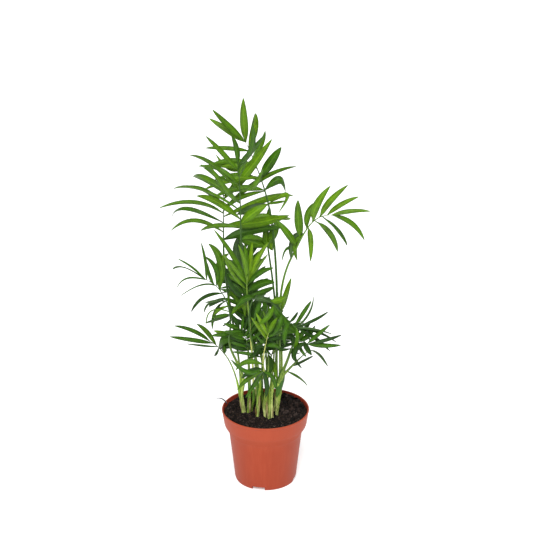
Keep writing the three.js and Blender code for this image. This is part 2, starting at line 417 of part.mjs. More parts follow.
// The free part of one leaflet that grows out of the rib face q: its widest section and its tip.
function leafletShape(q, plus, fr, row, arch, lift, share, grow) {
  const [, spread, lift0, reach, wide] = row, L = reach * share;
  const a = spread * RAD, b = (lift0 + lift) * RAD;
  const aim = fr.T.clone().multiplyScalar(Math.cos(a) * Math.cos(b)).addScaledVector(fr.S, Math.sin(a) * Math.cos(b)).addScaledVector(fr.N, Math.sin(b));
  const tip = fr.point.clone().addScaledVector(aim, L);
  const base = q.reduce((p, c) => p.add(c), V(0, 0, 0)).multiplyScalar(0.25);
  const v = tip.clone().sub(base).normalize();
  const up = fr.N.clone().addScaledVector(v, -fr.N.dot(v)).normalize();
  const out = v.clone().cross(up);
  if (out.dot(fr.T) < 0) out.negate();
  const half = Math.min(wide, MAX_WIDE) * 0.5 + grow, thick = BLADE_THICK * 0.6 + grow;
  const c = base.clone().lerp(tip, WIDEST).addScaledVector(up, 4 * arch * L * WIDEST * (1 - WIDEST));
  // the forward edge stays on its own side of the rib
  const hand = plus ? 1 : -1, away = c.clone().sub(fr.point).dot(fr.S) * hand, closing = -out.dot(fr.S) * hand;
  const fore = closing > 0.05 ? Math.min(half, Math.max((away - RIB_CLEAR) / closing, 0.5) + grow) : half;
  const A = c.clone().addScaledVector(out, -half).addScaledVector(up, thick), B = c.clone().addScaledVector(out, fore).addScaledVector(up, thick);
  const K = c.clone().addScaledVector(up, -thick);
  if (grow) tip.addScaledVector(v, grow);
  return { ring: plus ? [A, K, K, B] : [K, A, B, K], tip };
}

// Triangles that carry the four corners q out to the widest section and on to the tip.
function leafletFaces(q, shape, tri) {
  const m = shape.ring;
  for (let k = 0; k < 4; k++) {
    const n = (k + 1) % 4;
    tri(q[k], q[n], m[n]);
    if (m[k] !== m[n]) { tri(q[k], m[n], m[k]); tri(m[k], m[n], shape.tip); }
  }
}

// The bare rib through its sections, closed at both ends.
function ribSoup(sections) {
  const soup = [];
  const tri = (...p) => { for (const v of p) soup.push(v.x, v.y, v.z); };
  for (let i = 0; i + 1 < sections.length; i++) {
    const a = sections[i], b = sections[i + 1];
    for (let k = 0; k < 4; k++) {
      const n = (k + 1) % 4;
      tri(a[k], a[n], b[n]); tri(a[k], b[n], b[k]);
    }
  }
  const first = sections[0], last = sections[sections.length - 1];
  tri(first[2], first[1], first[0]); tri(first[3], first[2], first[0]);
  tri(last[0], last[1], last[2]); tri(last[0], last[2], last[3]);
  return soup;
}

// Whether an edge passes through the inside of a triangle.
function pierces(a, b, [p, q, r]) {
  const n = q.clone().sub(p).cross(r.clone().sub(p));
  const da = n.dot(a.clone().sub(p)), db = n.dot(b.clone().sub(p));
  if (da * db >= 0) return false;
  const x = a.clone().lerp(b, da / (da - db));
  const inside = (u, v) => v.clone().sub(u).cross(x.clone().sub(u)).dot(n) > 1e-9;
  return inside(p, q) && inside(q, r) && inside(r, p);
}

// Whether two sets of triangles cross anywhere but at corners they share.
function crosses(one, two) {
  const same = (u, v) => u.distanceToSquared(v) < 1e-10;
  for (const a of one) for (const b of two) {
    if (a === b) continue;
    const met = a.filter((u) => b.some((v) => same(u, v)));
    if (met.length >= 2) continue;
    const free = (u) => !met.some((v) => same(u, v));
    for (const [t, o] of [[a, b], [b, a]]) for (let k = 0; k < 3; k++) {
      const u = t[k], v = t[(k + 1) % 3];
      if (free(u) && free(v) && pierces(u, v, o)) return true;
    }
  }
  return false;
}

function trianglesOf(soup) {
  const list = [];
  for (let i = 0; i < soup.length; i += 9) list.push([0, 3, 6].map((k) => V(soup[i + k], soup[i + k + 1], soup[i + k + 2])));
  return list;
}

function leafletSkin(q, shape) {
  const list = [];
  leafletFaces(q, shape, (...p) => list.push(p));
  return list;
}

function leafletSolid(q, shape) {
  const soup = [];
  const tri = (...p) => { for (const v of p) soup.push(v.x, v.y, v.z); };
  leafletFaces(q, shape, tri);
  tri(q[2], q[1], q[0]); tri(q[3], q[2], q[0]);
  return solidOfSoup(soup);
}

function solidOfSoup(soup) {
  const g = new THREE.BufferGeometry();
  g.setAttribute('position', new THREE.Float32BufferAttribute(soup, 3));
  return solid(g);
}

// ---- assembly ------------------------------------------------------------

const palm = new THREE.Group();
palm.name = 'parlour_palm';
function place(name, m, colour, roughness) {
  const mesh = new THREE.Mesh(geometryOf(m), new THREE.MeshStandardMaterial({ color: colour, roughness, metalness: 0 }));
  mesh.name = name;
  palm.add(mesh);
}

place('pot', potSolid(), 0xbe5a3c, 0.55);
place('soil', soilSolid(), 0x231914, 0.95);

// Petioles first, since each ends free of its stem, its blade and its neighbours.
const paths = {}, limbs = [], keepClear = [];
for (const [name, f] of Object.entries(FRONDS)) {
  const p = frondPaths(f);
  paths[name] = p;
  const radii = p.petiole.map((_, i) => lerp(...PETIOLE_RADIUS, i / PETIOLE_STEPS));
  const short = p.petiole.slice();
  short[PETIOLE_STEPS] = p.petiole[PETIOLE_STEPS].clone().addScaledVector(p.rib[1].clone().sub(p.rib[0]).normalize(), -GAP);
  limbs.push({ name, path: short, radii, colour: f.stem });
}
const placedLimbs = [];
for (const l of limbs) {
  let m = solid(limb(l.path, l.radii, LIMB_SIDES));
  for (const other of placedLimbs) {
    const wide = { m: other.wide, box: other.wideBox };
    if (touches(boxed(m), wide)) m = largest(m.subtract(other.wide));
  }
  const wide = solid(limb(l.path, l.radii, LIMB_SIDES, GAP));
  placedLimbs.push({ name: l.name, m, wide, wideBox: wide.boundingBox() });
}

const stemSolids = [];
for (const [name, s] of Object.entries(STEMS)) {
  const feet = Object.values(FRONDS).filter((f) => f.stem === name).map((f) => V(...f.foot));
  const top = feet.reduce((a, b) => a.add(b), V(0, 0, 0)).divideScalar(feet.length);
  top.z = Math.min(...feet.map((p) => p.z)) - 0.6;
  const foot = V(s.foot[0], s.foot[1], SOIL_TOP + GAP), n = STEM_STEPS;
  const path = Array.from({ length: n + 1 }, (_, i) => {
    const t = i / n, p = foot.clone().lerp(top, t);
    return V(lerp(foot.x, top.x, t ** 1.25), lerp(foot.y, top.y, t ** 1.25), p.z);
  });
  const radii = path.map((_, i) => s.radius * (1 + 0.18 * (1 - i / n) ** 4) + (s.top - s.radius) * Math.max(0, (i / n - 0.35) / 0.65) ** 1.3);
  // the foot is a flat cut at ground level
  let m = solid(limb(path, radii, STEM_SIDES));
  const ground = new THREE.BoxGeometry(40, 40, 20);
  ground.translate(foot.x, foot.y, SOIL_TOP + GAP - 10);
  m = m.subtract(solid(ground));
  for (const l of placedLimbs) if (touches(boxed(m), { m: l.wide, box: l.wideBox })) m = largest(m.subtract(l.wide));
  for (const o of stemSolids) if (touches(boxed(m), o.wide)) m = largest(m.subtract(o.wide.m));
  stemSolids.push({ name, m, wide: boxed(solid(limb(path, radii.map((r) => r + GAP), STEM_SIDES))) });
  place('stem_' + name, m, 0xa4bf66, 0.6);
}
for (const l of placedLimbs) place('petiole_' + l.name, l.m, 0x86ab45, 0.55);

// Blades: the rib and its leaflets in one closed skin. A leaflet that would meet another
// piece is lifted a little, or shortened, until it passes clear.
const obstacles = [];
for (const l of placedLimbs) obstacles.push({ owner: l.name, ...boxed(l.wide) });
for (const s of stemSolids) obstacles.push({ owner: 'stem', ...s.wide });
const lengthOf = (path) => path.slice(1).reduce((n, p, i) => n + p.distanceTo(path[i]), 0);
for (const name of Object.keys(FRONDS)) {
  const rib = paths[name].rib, radii = rib.map((_, i) => lerp(...RIB_RADIUS, i / RIB_STEPS) * 1.2 + GAP);
  obstacles.push({ owner: name, ...boxed(solid(limb(rib, radii, 4))) });
}
const liftsUsed = {};
for (const [name, f] of Object.entries(FRONDS)) {
  const rib = paths[name].rib, length = lengthOf(rib), arch = f.droop ?? 0.07;
  const rows = (f.leaflets ?? evenPairs(f)).filter((r) => Math.abs(r[1]) < 150 && r[3] >= 20);
  const own = placedLimbs.find((l) => l.name === name), mine = [], kept = [];
  liftsUsed[name] = kept;
  const bays = baysOf(rows, length);
  const stations = [GAP, ...bays.flatMap((b) => [b.at, b.at + b.wide]), length];
  const coreSoup = ribSoup(stations.map((at) => ribSection(rib, at, length, f.face)));
  const core = boxed(solidOfSoup(coreSoup)), skins = [trianglesOf(coreSoup)];
  for (const bay of bays) {
    const s0 = ribSection(rib, bay.at, length, f.face), s1 = ribSection(rib, bay.at + bay.wide, length, f.face);
    const g0 = ribSection(rib, bay.at, length, f.face, GAP), g1 = ribSection(rib, bay.at + bay.wide, length, f.face, GAP);
    for (const side of ['plus', 'minus']) {
      const row = bay[side];
      if (!row) continue;
      const pick = side === 'plus' ? (a, b) => [a[0], a[1], b[1], b[0]] : (a, b) => [a[2], a[3], b[3], b[2]];
      const q = pick(s0, s1), wideQ = pick(g0, g1), fr = ribFrame(rib, row[0], f.face);
      const fits = () => {
        for (const share of TRY_REACH) for (const slim of TRY_SLIM) for (const lift of TRY_LIFT) {
          const thin = [...row.slice(0, 4), row[4] * slim];
          const shape = leafletShape(q, side === 'plus', fr, thin, arch, lift, share, 0), skin = leafletSkin(q, shape);
          if (crosses(skin, skin) || skins.some((o) => crosses(skin, o))) continue;
          const m = boxed(leafletSolid(q, shape));
          if (touches(m, core) || mine.some((o) => touches(m, o))) continue;
          if (touches(m, { m: own.wide, box: own.wideBox })) continue;
          const test = boxed(leafletSolid(wideQ, leafletShape(wideQ, side === 'plus', fr, thin, arch, lift, share, GAP)));
          if (obstacles.some((o) => o.owner !== name && touches(test, o))) continue;
          skins.push(skin);
          kept.push([...row, lift, share]);
          return { shape, m, test };
        }
        kept.push([...row, null, 0]);
        return null;
      };
      const hit = fits();
      if (hit) { bay[side + 'Shape'] = hit.shape; mine.push(hit.m); (f.tests ??= []).push(hit.test); }
    }
  }
  for (const t of f.tests ?? []) obstacles.push({ owner: name, ...t });
  // the skin, section by section
  const used = bays.filter((b) => b.plusShape || b.minusShape), stops = [{ at: GAP }];
  for (const b of used) { stops.push({ at: b.at, bay: b }); stops.push({ at: b.at + b.wide }); }
  if (stops[stops.length - 1].at < length - 1.5) stops.push({ at: length });
  const sections = stops.map((p) => ribSection(rib, p.at, length, f.face));
  const soup = [];
  const tri = (...p) => { for (const v of p) soup.push(v.x, v.y, v.z); };
  for (let i = 0; i + 1 < stops.length; i++) {
    const a = sections[i], b = sections[i + 1], bay = stops[i].bay;
    for (let k = 0; k < 4; k++) {
      const n = (k + 1) % 4, q = [a[k], a[n], b[n], b[k]];
      const shape = bay && (k === 0 ? bay.plusShape : k === 2 ? bay.minusShape : null);
      if (shape) leafletFaces(q, shape, tri);
      else { tri(q[0], q[1], q[2]); tri(q[0], q[2], q[3]); }
    }
  }
  const first = sections[0], last = sections[sections.length - 1];
  tri(first[2], first[1], first[0]); tri(first[3], first[2], first[0]);
  tri(last[0], last[1], last[2]); tri(last[0], last[2], last[3]);
  place('frond_' + name, solidOfSoup(soup), 0x4f8222, 0.5);
}

export default palm;
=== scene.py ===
"""Parlour palm in a nursery pot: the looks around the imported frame.

Stems, petioles, ribs and leaflets are grown from the same named sizes as the CAD part, by
seeded rules. Tables are in millimetres and degrees, every Blender mesh is in metres.
"""

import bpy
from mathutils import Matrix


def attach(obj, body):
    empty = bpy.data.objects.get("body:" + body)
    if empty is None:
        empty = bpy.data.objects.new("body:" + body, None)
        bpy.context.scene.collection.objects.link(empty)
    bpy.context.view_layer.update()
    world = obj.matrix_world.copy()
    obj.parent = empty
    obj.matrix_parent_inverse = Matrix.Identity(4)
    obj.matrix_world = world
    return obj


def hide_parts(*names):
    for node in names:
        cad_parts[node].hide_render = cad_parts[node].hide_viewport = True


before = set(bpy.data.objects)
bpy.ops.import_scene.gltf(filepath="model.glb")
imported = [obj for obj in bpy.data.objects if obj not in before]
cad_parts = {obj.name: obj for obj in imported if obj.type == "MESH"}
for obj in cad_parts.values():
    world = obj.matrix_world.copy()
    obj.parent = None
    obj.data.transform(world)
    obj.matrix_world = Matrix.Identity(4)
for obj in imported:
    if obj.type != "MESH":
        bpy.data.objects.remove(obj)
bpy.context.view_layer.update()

import math

import bpy
import numpy as np

MM = 0.001
GOLD = math.pi * (3 - math.sqrt(5))

# ---- driving sizes, as in the CAD part --------------------------------------------------

POT_HEIGHT, RIM_RADIUS, POT_WALL = 106.0, 60.0, 1.2
COLLAR_FOOT, COLLAR_FOOT_RADIUS = 84.0, 56.6
BODY_TOP, BODY_TOP_RADIUS, BODY_FOOT_RADIUS = 73.5, 50.3, 42.7
FLOOR_UNDERSIDE, FLOOR_THICK, FOOT_RING_INNER, BOSS_RADIUS = 5.0, 1.7, 39.4, 9.0
NOTCH = dict(wide=18.0, high=5.0, first=-103.5, count=4)
DRAIN = dict(radius=3.4, out=27.0, count=4, first=-58.0)
SOIL_TOP, SOIL_HEAP = 96.6, 5.2
PETIOLE_RADIUS, RIB_RADIUS = (1.45, 0.95), (0.95, 0.5)
MAX_WIDE = 13.5

# Stems: foot on the peat, radius there, radius of the sheathed top.
STEMS = {
    'left': ((-30, 6), 2.6, 3.6),
    'left_rear': ((-24.3, 5.2), 1.9, 2.4),
    'mid_left': ((-19.7, 11.2), 2, 2.2),
    'main': ((-11.5, -4.5), 2.8, 3.2),
    'centre_rear': ((-2.4, 13.2), 2.2, 2.3),
    'front': ((-0.6, -7.2), 2, 2.6),
    'front_right': ((4.2, -9.6), 1.9, 2),
    'mid_right': ((9.2, -12.6), 1.9, 1.9),
    'right': ((15.2, -0.4), 2.2, 4.6),
    'right_rear': ((12.6, 10.8), 2.2, 2.8),
    'rear': ((3.2, 20.5), 2.3, 3.4),
    'rear_left': ((-9.5, 21.5), 2.3, 3.2),
}

# Fronds: stem, foot, petiole length, rib length, five headings [azimuth, elevation], the way the face looks,
# and leaflets (place on the rib, spread, lift, length, arch, sideways bow, width, and where they differ: turn of the
# blade and tone), or (pairs, reach, spread at foot, spread at tip, lift, droop, width, dice) for an even frond.
FRONDS = {
    'top': dict(stem='right', foot=(15.1, -2.9, 126), petiole=245.7, rib=113.7,
        course=((94, 87.9), (75.2, 77.3), (126.5, 77), (130.6, 56.3), (124, 43.7)),
        face=(0, -0.92, 0.39),
        leaflets=((1, 28, 48.5, 66.4, 3.1, -0.6, 11.3, 1), (0.92, 42.9, 40.9, 51.8, -9, 0.4, 11.3, -7, 1),
                  (0.79, 49.9, 17.8, 39.9, -5, 1.6, 8.1, -16), (1, -26.2, 39.6, 66.1, -1.4, -0.1, 9, 1),
                  (1, -33.8, 16.3, 58.3, 2.2, 0.3, 10, 9), (0.88, -59.9, -4.1, 61.3, 6.3, 0.2, 6.3, 1, 2),
                  (0.79, -58.5, -8, 51.7, -9.3, -16.4, 6, 1), (0.54, 55.9, 20.4, 50.4, 0.6, -0.4, 13.4, 2, 3),
                  (0.54, -84.9, 14.7, 80.2, 8.4, 4.4, 8.4, 8), (0.38, -81.2, 10.2, 68.5, 5.4, 6.8, 9.1, 1),
                  (0.38, 111.6, -29, 31.9, 10.3, -16, 12.5, -16, 3),
                  (0.22, 148.1, -18.6, 20, 1.8, -25.9, 6.7, -6, 1),
                  (0.21, -95.2, -6.1, 44.7, 8, 1.5, 11.6, 1, 5), (0.08, -93.7, 2.6, 34.5, 2.1, -0.5, 13, 1, 1),
                  (0.08, 116.5, -37.6, 36.9, 4.5, 0.1, 4.7, 9), (0.65, -69.1, -1, 70.3, -2.5, 11.7, 8.3, 1, 2),
                  (0.49, -69.9, -11.7, 68.2, -2.3, 9.2, 7.5, 24, 2),
                  (0.7, -61.2, -15.2, 72.1, 6.1, -4.7, 7.5, -7), (0.37, -99.9, -23.5, 70.3, 14.5, 7.1, 6.5, 1),),
        more=((0.217, 94, -0.4, 23.2, -0, 0.5, 4.4, 36, 2),)),
    'upper_left': dict(stem='main', foot=(-10.7, 2.4, 127), petiole=219.5, rib=139.6,
        course=((158.7, 88.9), (175.2, 78.1), (-105.9, 79.5), (-75, 75.9), (-105, 67)),
        face=(0, -0.92, 0.39),
        leaflets=((0.983, -4.2, -18.1, 40.1, -1.4, 2.8, 7.3, -2, 3),
                  (0.9, -35.4, -11.9, 63.8, -3.7, -0.7, 6.7, 22, 2),
                  (0.92, 34.7, 5.1, 69.7, 0.2, -1, 7.1, -7, 3), (0.83, 25.1, -16.1, 36.6, 1.9, -2, 9.5, 9),
                  (0.71, -70.7, -22.7, 60.1, 0.9, 11.6, 5.6, 1),
                  (0.655, -41.1, 8.5, 93.8, -17.4, -0.6, 6.5, 10, 2),
                  (0.53, -85.2, -39.7, 82.1, 15.5, 21.6, 10.4, 8, 2),
                  (0.438, -87.7, -27.1, 100.2, 12.7, 23.6, 5.6, -18, 2),
                  (0.338, -50.3, 10.2, 73.4, -12.7, -0.7, 9.7, 18, 1),
                  (0.247, -104.2, -15.1, 57.2, 5, 10.1, 6, 18, 2), (0.67, 40.7, 1.7, 47.1, 11.2, 3.8, 9.5, 16),
                  (0.29, 51, -3.7, 45.4, 3.6, -4.2, 13.5, -26, 1), (0.12, 83.6, 12.3, 28.5, -3, -0.1, 10.4, 1),
                  (0.97, 18.4, 7.8, 79, 7.3, 8.3, 8, 1, 3), (0.52, -28.5, 8.6, 81.5, 10.8, 0.9, 7.8, 1),
                  (0.74, -50.7, 7.5, 59.6, 5.2, -0.3, 7, -24),)),
    'left_high': dict(stem='left', foot=(-34, 8.6, 130), petiole=189.8, rib=90.8,
        course=((-84.5, 83), (152.6, 72.2), (127.4, 83.8), (84.3, 47.7), (97.9, 73.5)),
        face=(0, -0.92, 0.39),
        leaflets=((1, -32.8, -18, 38.1, 2.8, 6.7, 7, 1), (0.925, 40.6, 15, 106.2, 4.6, 1.6, 12.9, 1, 1),
                  (0.79, 61.9, 22.1, 118.6, -22.6, -10.6, 6.5, 1, 2),
                  (0.67, 69.9, -28.4, 113.8, 27.1, -3.5, 9.7, -6, 1),
                  (0.54, 83.6, 27.6, 98.3, -5.3, 2.3, 13.5, 8, 1),
                  (0.713, -84.3, -14.2, 92, -4.3, 12.5, 6.4, -24, 2),
                  (0.58, -83, -36.2, 90.7, 28.7, 13.1, 7.4, 26, 3),
                  (0.44, -87.9, -17.8, 76, 12.1, 14.5, 5.8, 12, 2),
                  (0.33, 79, 2.2, 78.7, -1.5, -4.8, 13.5, 17, 3), (0.96, -33.5, 0.1, 52.8, 4.7, 8.4, 6.6, -16),
                  (0.82, -60.5, -4, 57.7, 3.2, 7.1, 5.9, 17), (0.97, 35.5, 4.4, 80.9, 8.5, 9.5, 7.8, 17),)),
    'right_high': dict(stem='right_rear', foot=(16.2, 1.6, 127), petiole=218.5, rib=100.6,
        course=((-45.7, 78.4), (158.8, 72.7), (-30.4, 62.7), (-57, 68.8), (-40.9, 12.3)),
        face=(-0.45, -0.6, 0.65),
        leaflets=((1, -21.8, -28.3, 50.3, -0.2, -3.9, 8.1, -10, 1),
                  (0.922, -31, -9.7, 49.4, 3.6, -0.2, 6.7, 42, 1),
                  (0.785, -28, -2.3, 60.5, 8.5, 4.7, 8.9, 36, 1),
                  (0.638, -23.5, 2.1, 58.2, 9.9, 6.2, 10.7, 58, 1),
                  (0.473, -20.9, -2.9, 40.6, 1.8, -6.2, 8.9, 52, 2),
                  (0.268, -26.4, 13.1, 56.6, -0.6, -2.9, 11.9, 38, 2),
                  (1, 30.6, -58.8, 55.1, -0.3, -7.3, 7.3, -30, 2),
                  (0.84, 125.2, -69.3, 62.6, -2.9, -2.6, 11.3, -30, 3),
                  (0.682, 148.1, -55.9, 66, -6, -1.7, 9.6, -60, 2), (0.52, 150.9, -20.2, 52, -4.6, 5, 8, -42, 1),
                  (0.357, 158.3, -0.7, 36.8, 1.7, 10, 7, -50, 2),
                  (0.383, 167.9, 8.2, 40.3, -0.3, 12.9, 10.4, -34, 5),
                  (0.133, -54.8, 33.8, 47.7, 1.4, 5.2, 9.3, 38, 2),),
        more=((0.068, -167.6, 17.6, 24.5, -4.4, 13.6, 4.9, 30, 3),)),
    'left_mid': dict(stem='left', foot=(-29.4, 0.6, 130), petiole=94.2, rib=113.8,
        course=((-11.6, 76.6), (-181.5, 30.4), (-43.9, 78.2), (-139.5, 70), (-138.7, 31.8)),
        face=(0.2, -0.81, 0.55),
        leaflets=((0.985, 21.1, -19.6, 47.3, 1.4, 2.2, 4.4, 24, 3),
                  (0.985, -2.1, -11.4, 53.4, -13.5, 10.7, 3.7, 54, 3),
                  (0.985, -54, -61.8, 43, 4, 12.9, 3.7, 42, 3),
                  (0.802, -51, -20.9, 51.9, 9.5, 10.8, 3.7, -42, 3),
                  (0.635, -90.5, -22.9, 47.8, 3.4, 13.8, 5.4, -6, 4),
                  (0.54, -105.2, -31.9, 25.8, 1, 3.8, 5.4, 16, 4),
                  (0.5, -145.9, -16.7, 52.9, -8.1, 1.7, 5.7, 2, 3),
                  (0.968, 47.6, 12.1, 54.8, 6.5, -3.8, 5.7, 2, 3),
                  (0.825, 32.9, -2, 33.2, -1.6, -1.1, 5.7, 1, 3),
                  (0.782, 27.8, -7.9, 46.3, 4.4, 6.7, 6.7, -34, 3),
                  (0.698, 21.3, 1.5, 75.2, -1.5, 13.5, 11.2, -24, 2),
                  (0.415, -125.1, -25.1, 27.5, -0.9, 3.3, 7.5, 9, 1),
                  (0.29, -98.3, -21.6, 25.5, 2.9, 2.3, 7.5, -4, 3),
                  (0.273, -110.1, -23, 37.1, 0.6, 0.6, 4.4, 1, 5),
                  (0.38, 117.5, -6.6, 19.7, -15.9, -13.4, 9.6, 1),
                  (0.25, 112.4, -6.1, 23, 0.4, -21.3, 10.1, 1, 1), (0.015, -86.3, -11, 22, 0.8, -0.5, 6, 1, 1),
                  (0, -96.6, -1, 24.2, 2.6, 2.1, 6, 10, 3), (0.677, 37.8, 14.3, 59.9, -15, 1.1, 9.5, -60, 1),),
        more=((0.54, -72.3, -20.4, 27.6, 4.9, 2.9, 4.4, -18, 5),
                  (0.49, -104.9, -26.3, 34.2, 0.6, 12.1, 4.4, -36, 5),
                  (0.33, -112.3, -14.3, 35.5, -1.1, 15.7, 4.4, -30, 1),
                  (0.22, -134.5, -11.5, 15.9, -4, -5.4, 3.9, -12, 4),)),
    'left_low': dict(stem='left', foot=(-39, 2.7, 130), petiole=56.9, rib=35.9,
        course=((129.7, 76.1), (-97.6, 79.6), (138.3, 34), (122.6, 6), (127.8, -3.6)),
        face=(0.1, -0.75, 0.65),
        leaflets=((0.755, -46.4, 29.8, 61.5, 3.3, -2.9, 6.7, -26, 3),
                  (0.94, -42.1, 53.9, 56, 3.9, 1.8, 5.4, -44, 3),
                  (0.545, -27, 68.6, 45.5, -1.5, 4.9, 7.2, 17, 2),
                  (0.465, -42.8, 11.1, 43.7, 4.6, -3.8, 4.4, 18, 5),
                  (0.38, -125.3, 10.1, 15.7, -4.9, 2.4, 3.9, 12, 4),
                  (0.31, 130.7, 31.5, 45.6, 17.3, 3.5, 11.7, 28, 3), (0.033, 29.1, 59.7, 20.3, 6, 1.3, 7, 24, 3),
                  (0.325, 135.7, 11.6, 44.4, 9.5, 3.5, 8.7, 48, 4),),
        more=((0.195, 111.3, 28.4, 28.2, 2.4, -4.1, 6.3, 4, 3),)),
    'right_arch': dict(stem='main', foot=(-8.5, -7.1, 127), petiole=145.9, rib=91.1,
        course=((-50.9, 74.4), (169.4, 55.3), (-53.8, 72.4), (3.4, -69.2), (-31.4, -26.7)),
        face=(0.2, -0.76, 0.61),
        leaflets=((0.878, -94.1, 39.3, 17.4, -2.4, 0.3, 4.4, -30, 4),
                  (0.965, -91.4, 45, 43.3, -4.4, -1.1, 6, -20, 3),
                  (0.995, -96.1, 44.3, 50.5, -2.3, 5.2, 3.9, -24, 5),
                  (0.998, -59.3, 28.4, 48.5, -4.8, -0, 4.6, -18, 4), (0.88, 57.3, -13.7, 31.9, 6.5, 4.1, 6.7, 1),
                  (0.71, 64.4, -26.4, 31.8, 5.4, -2.8, 7, 1), (0.54, 83.8, -9.1, 31.7, -3.1, -3.8, 8, 1, 2),
                  (0.33, 98.5, -31.5, 35.5, 0.9, 0.4, 7.2, 1), (0.46, -63.6, -18.2, 28.1, 1.9, 3, 9.6, 1, 1),),
        more=((0.16, 54.7, 2.3, 28.8, 8.1, -9.8, 8.9, -30, 5), (0.35, 7.1, -43.7, 37.5, -3, -1.9, 9.5, 6, 5),
                  (0.532, -3.4, -19.8, 38.6, -2.1, 3.2, 9.5, 14, 3),
                  (0.705, -3.9, -19.4, 36.2, -0.8, 3.2, 8.6, 20, 3),
                  (0.2, -177.7, 12.7, 37.4, -4.6, 6.8, 9.2, 8, 3),
                  (0.33, 81.7, -45.8, 31.8, -0.3, -5.9, 11.9, -48, 3),
                  (0.492, 27.9, -37, 28.8, -0.2, -4.2, 10.4, 1, 5),
                  (1, 60.5, -49.1, 40.1, -0.4, -5.2, 10, -26, 2), (1, -32.7, -6, 48.1, 1.8, -1.7, 4.4, -30, 5),
                  (1, -25.8, -15.7, 58.5, 1.2, -4.8, 7.8, -34, 4),
                  (1, -14.1, -26.1, 57.9, 0.2, -3.1, 7.8, -12, 4),)),
    'right_low': dict(stem='right', foot=(14.4, -10.9, 126), petiole=81.3, rib=57.1,
        course=((-98.5, 82.9), (-11.1, 59.8), (-69.7, 63), (-37.3, 57.6), (-60.4, -13.3)),
        face=(-0.2, -0.76, 0.61),
        leaflets=((0.975, -78.2, 8.8, 40.4, 1.2, 0.9, 6.7, 12, 3), (0.993, -74.2, -22.6, 47.7, 4, 4.7, 6, -2, 4),
                  (0.993, -54.8, -27.6, 44.6, 2.9, 3.2, 6.7, 10, 3),
                  (0.83, 55.2, -56.7, 22.2, 1.5, 0.1, 7.6, -24),
                  (0.557, -27.3, -26.1, 33.7, -0.3, 5.1, 7.1, 32, 3),
                  (0.58, 73, -14.8, 24.8, 2.1, 0.1, 4.4, -24), (0.29, 123.8, -5.7, 32.5, -0.8, 7.7, 7.1, -8),
                  (0.17, -81.2, -10.3, 20.3, -1.8, 15.2, 8.8, 26), (0.92, 77.2, -3.1, 28.8, 0.6, 10, 12.1, 1),
                  (0.645, -45.1, -5.8, 31.1, 3.1, 0.7, 6.3, 30, 3), (0.22, -88.1, 1.8, 30.9, 10.3, -9.1, 6, 1),),
        more=((0.13, 101.2, -44.6, 14.2, 2.7, -0.5, 4.4, 6, 4),)),
    'right_fore': dict(stem='right', foot=(21.4, -9.5, 126), petiole=43.7, rib=74,
        course=((-27.9, 89.5), (-159.2, 78.3), (-47.4, 49.6), (-42.1, 50.9), (-58.6, 39.9)),
        face=(-0.3, -0.6, 0.75),
        leaflets=((0.993, 143.5, -66.5, 38, -1.8, 8.9, 4.4, -12, 5),
                  (0.098, 157.2, -62.3, 46.6, -3.6, -2.4, 4.4, 6, 3),
                  (0.305, -11.2, -39.3, 32.8, -1.7, -1, 4.4, -12, 5),
                  (0.46, -51.3, 14.2, 27.1, 4.2, 5.7, 4.4, 30),)),
    'spear': dict(stem='mid_left', foot=(-16.3, 3.1, 118), petiole=158.2, rib=50.7,
        course=((79.1, 87.8), (-108.9, 75.5), (-123.8, 83.3), (-86.8, 33.1), (-86.3, 67.4)),
        face=(0, -0.92, 0.39),
        leaflets=((1, -8.4, -37.7, 42.7, -1.5, 0.4, 6.3, -7, 2), (0.67, 29.3, -34.6, 65, -7.6, 0.2, 8.7, -8, 0),
                  (0.75, 6.5, -47.2, 53.9, -1.5, 0.9, 7.2, 1, 0), (0.71, -11, -12.4, 71.1, -0.3, 3.1, 6.8, 8, 1),
                  (0.38, -26.8, -11.7, 64.9, 3.2, -3, 5.2, 1, 1),
                  (0.67, -34.9, -26.3, 89.9, -1.9, 2.5, 7, 16, 2),
                  (0.613, 52.2, -15.3, 45.1, -6.2, 0.3, 7.4, -42, 3),
                  (0.235, 61.3, 1.8, 42.2, -7, -0.3, 11.5, -38, 3),
                  (0.092, 63, 7.9, 41.3, -4.5, 4.5, 7.8, -28, 3),
                  (0.54, 48.8, -46.1, 50.7, 0.6, -3.3, 6.2, 1, 1),
                  (0.61, -22.7, 0.1, 80.6, -2.1, -1, 5.4, 26, 1), (0, -27.3, -6.6, 55.3, 5, -7.2, 7.7, -8, 4),
                  (0.08, -17.4, -12.3, 53.4, -2.4, 0.3, 4.4, 1, 3),)),
    'mid_back': dict(stem='mid_right', foot=(8.7, -2.6, 129), petiole=201, rib=43.2,
        course=((58.7, 70.7), (159.4, 84.8), (131.6, 76.7), (87.6, 22), (90.8, 46.2)),
        face=(0.12, -0.9, 0.42),
        leaflets=((1, 5, 45.9, 23.2, 2.4, 0.5, 7.5, 8), (0.5, 152.4, -28.9, 20.7, 2.2, 0.5, 10.8, 1, 1),
                  (0.33, -80.2, 47.8, 25.8, -5.2, 0.9, 7.1, -8), (0.25, 26.5, 21.5, 36.4, 4.7, 1.5, 12.3, 1, 2),
                  (0.12, 1.7, 7.9, 30.3, 1.5, -1.5, 10.8, 8, 2),
                  (0.195, -65.4, -7.2, 47.1, 3.7, -2.9, 12.6, -4, 2),
                  (0.765, -85.6, -36.9, 66.2, -6.5, 9.3, 7.7, -16, 3),)),
    'front_low': dict(stem='front', foot=(-4.3, -2.5, 114.5), petiole=73.8, rib=60.4,
        course=((-55.5, 71.8), (-32.9, 79), (-87.5, 81.3), (-102.3, 4.8), (-98.4, -76.2)),
        face=(0, 0.04, 1),
        leaflets=((0.843, 75.5, -7.7, 39.7, 7.3, 7.3, 7.4, -8, 2), (0.932, 61.8, -2, 32.5, 3.5, 3.6, 8.3, 1, 4),
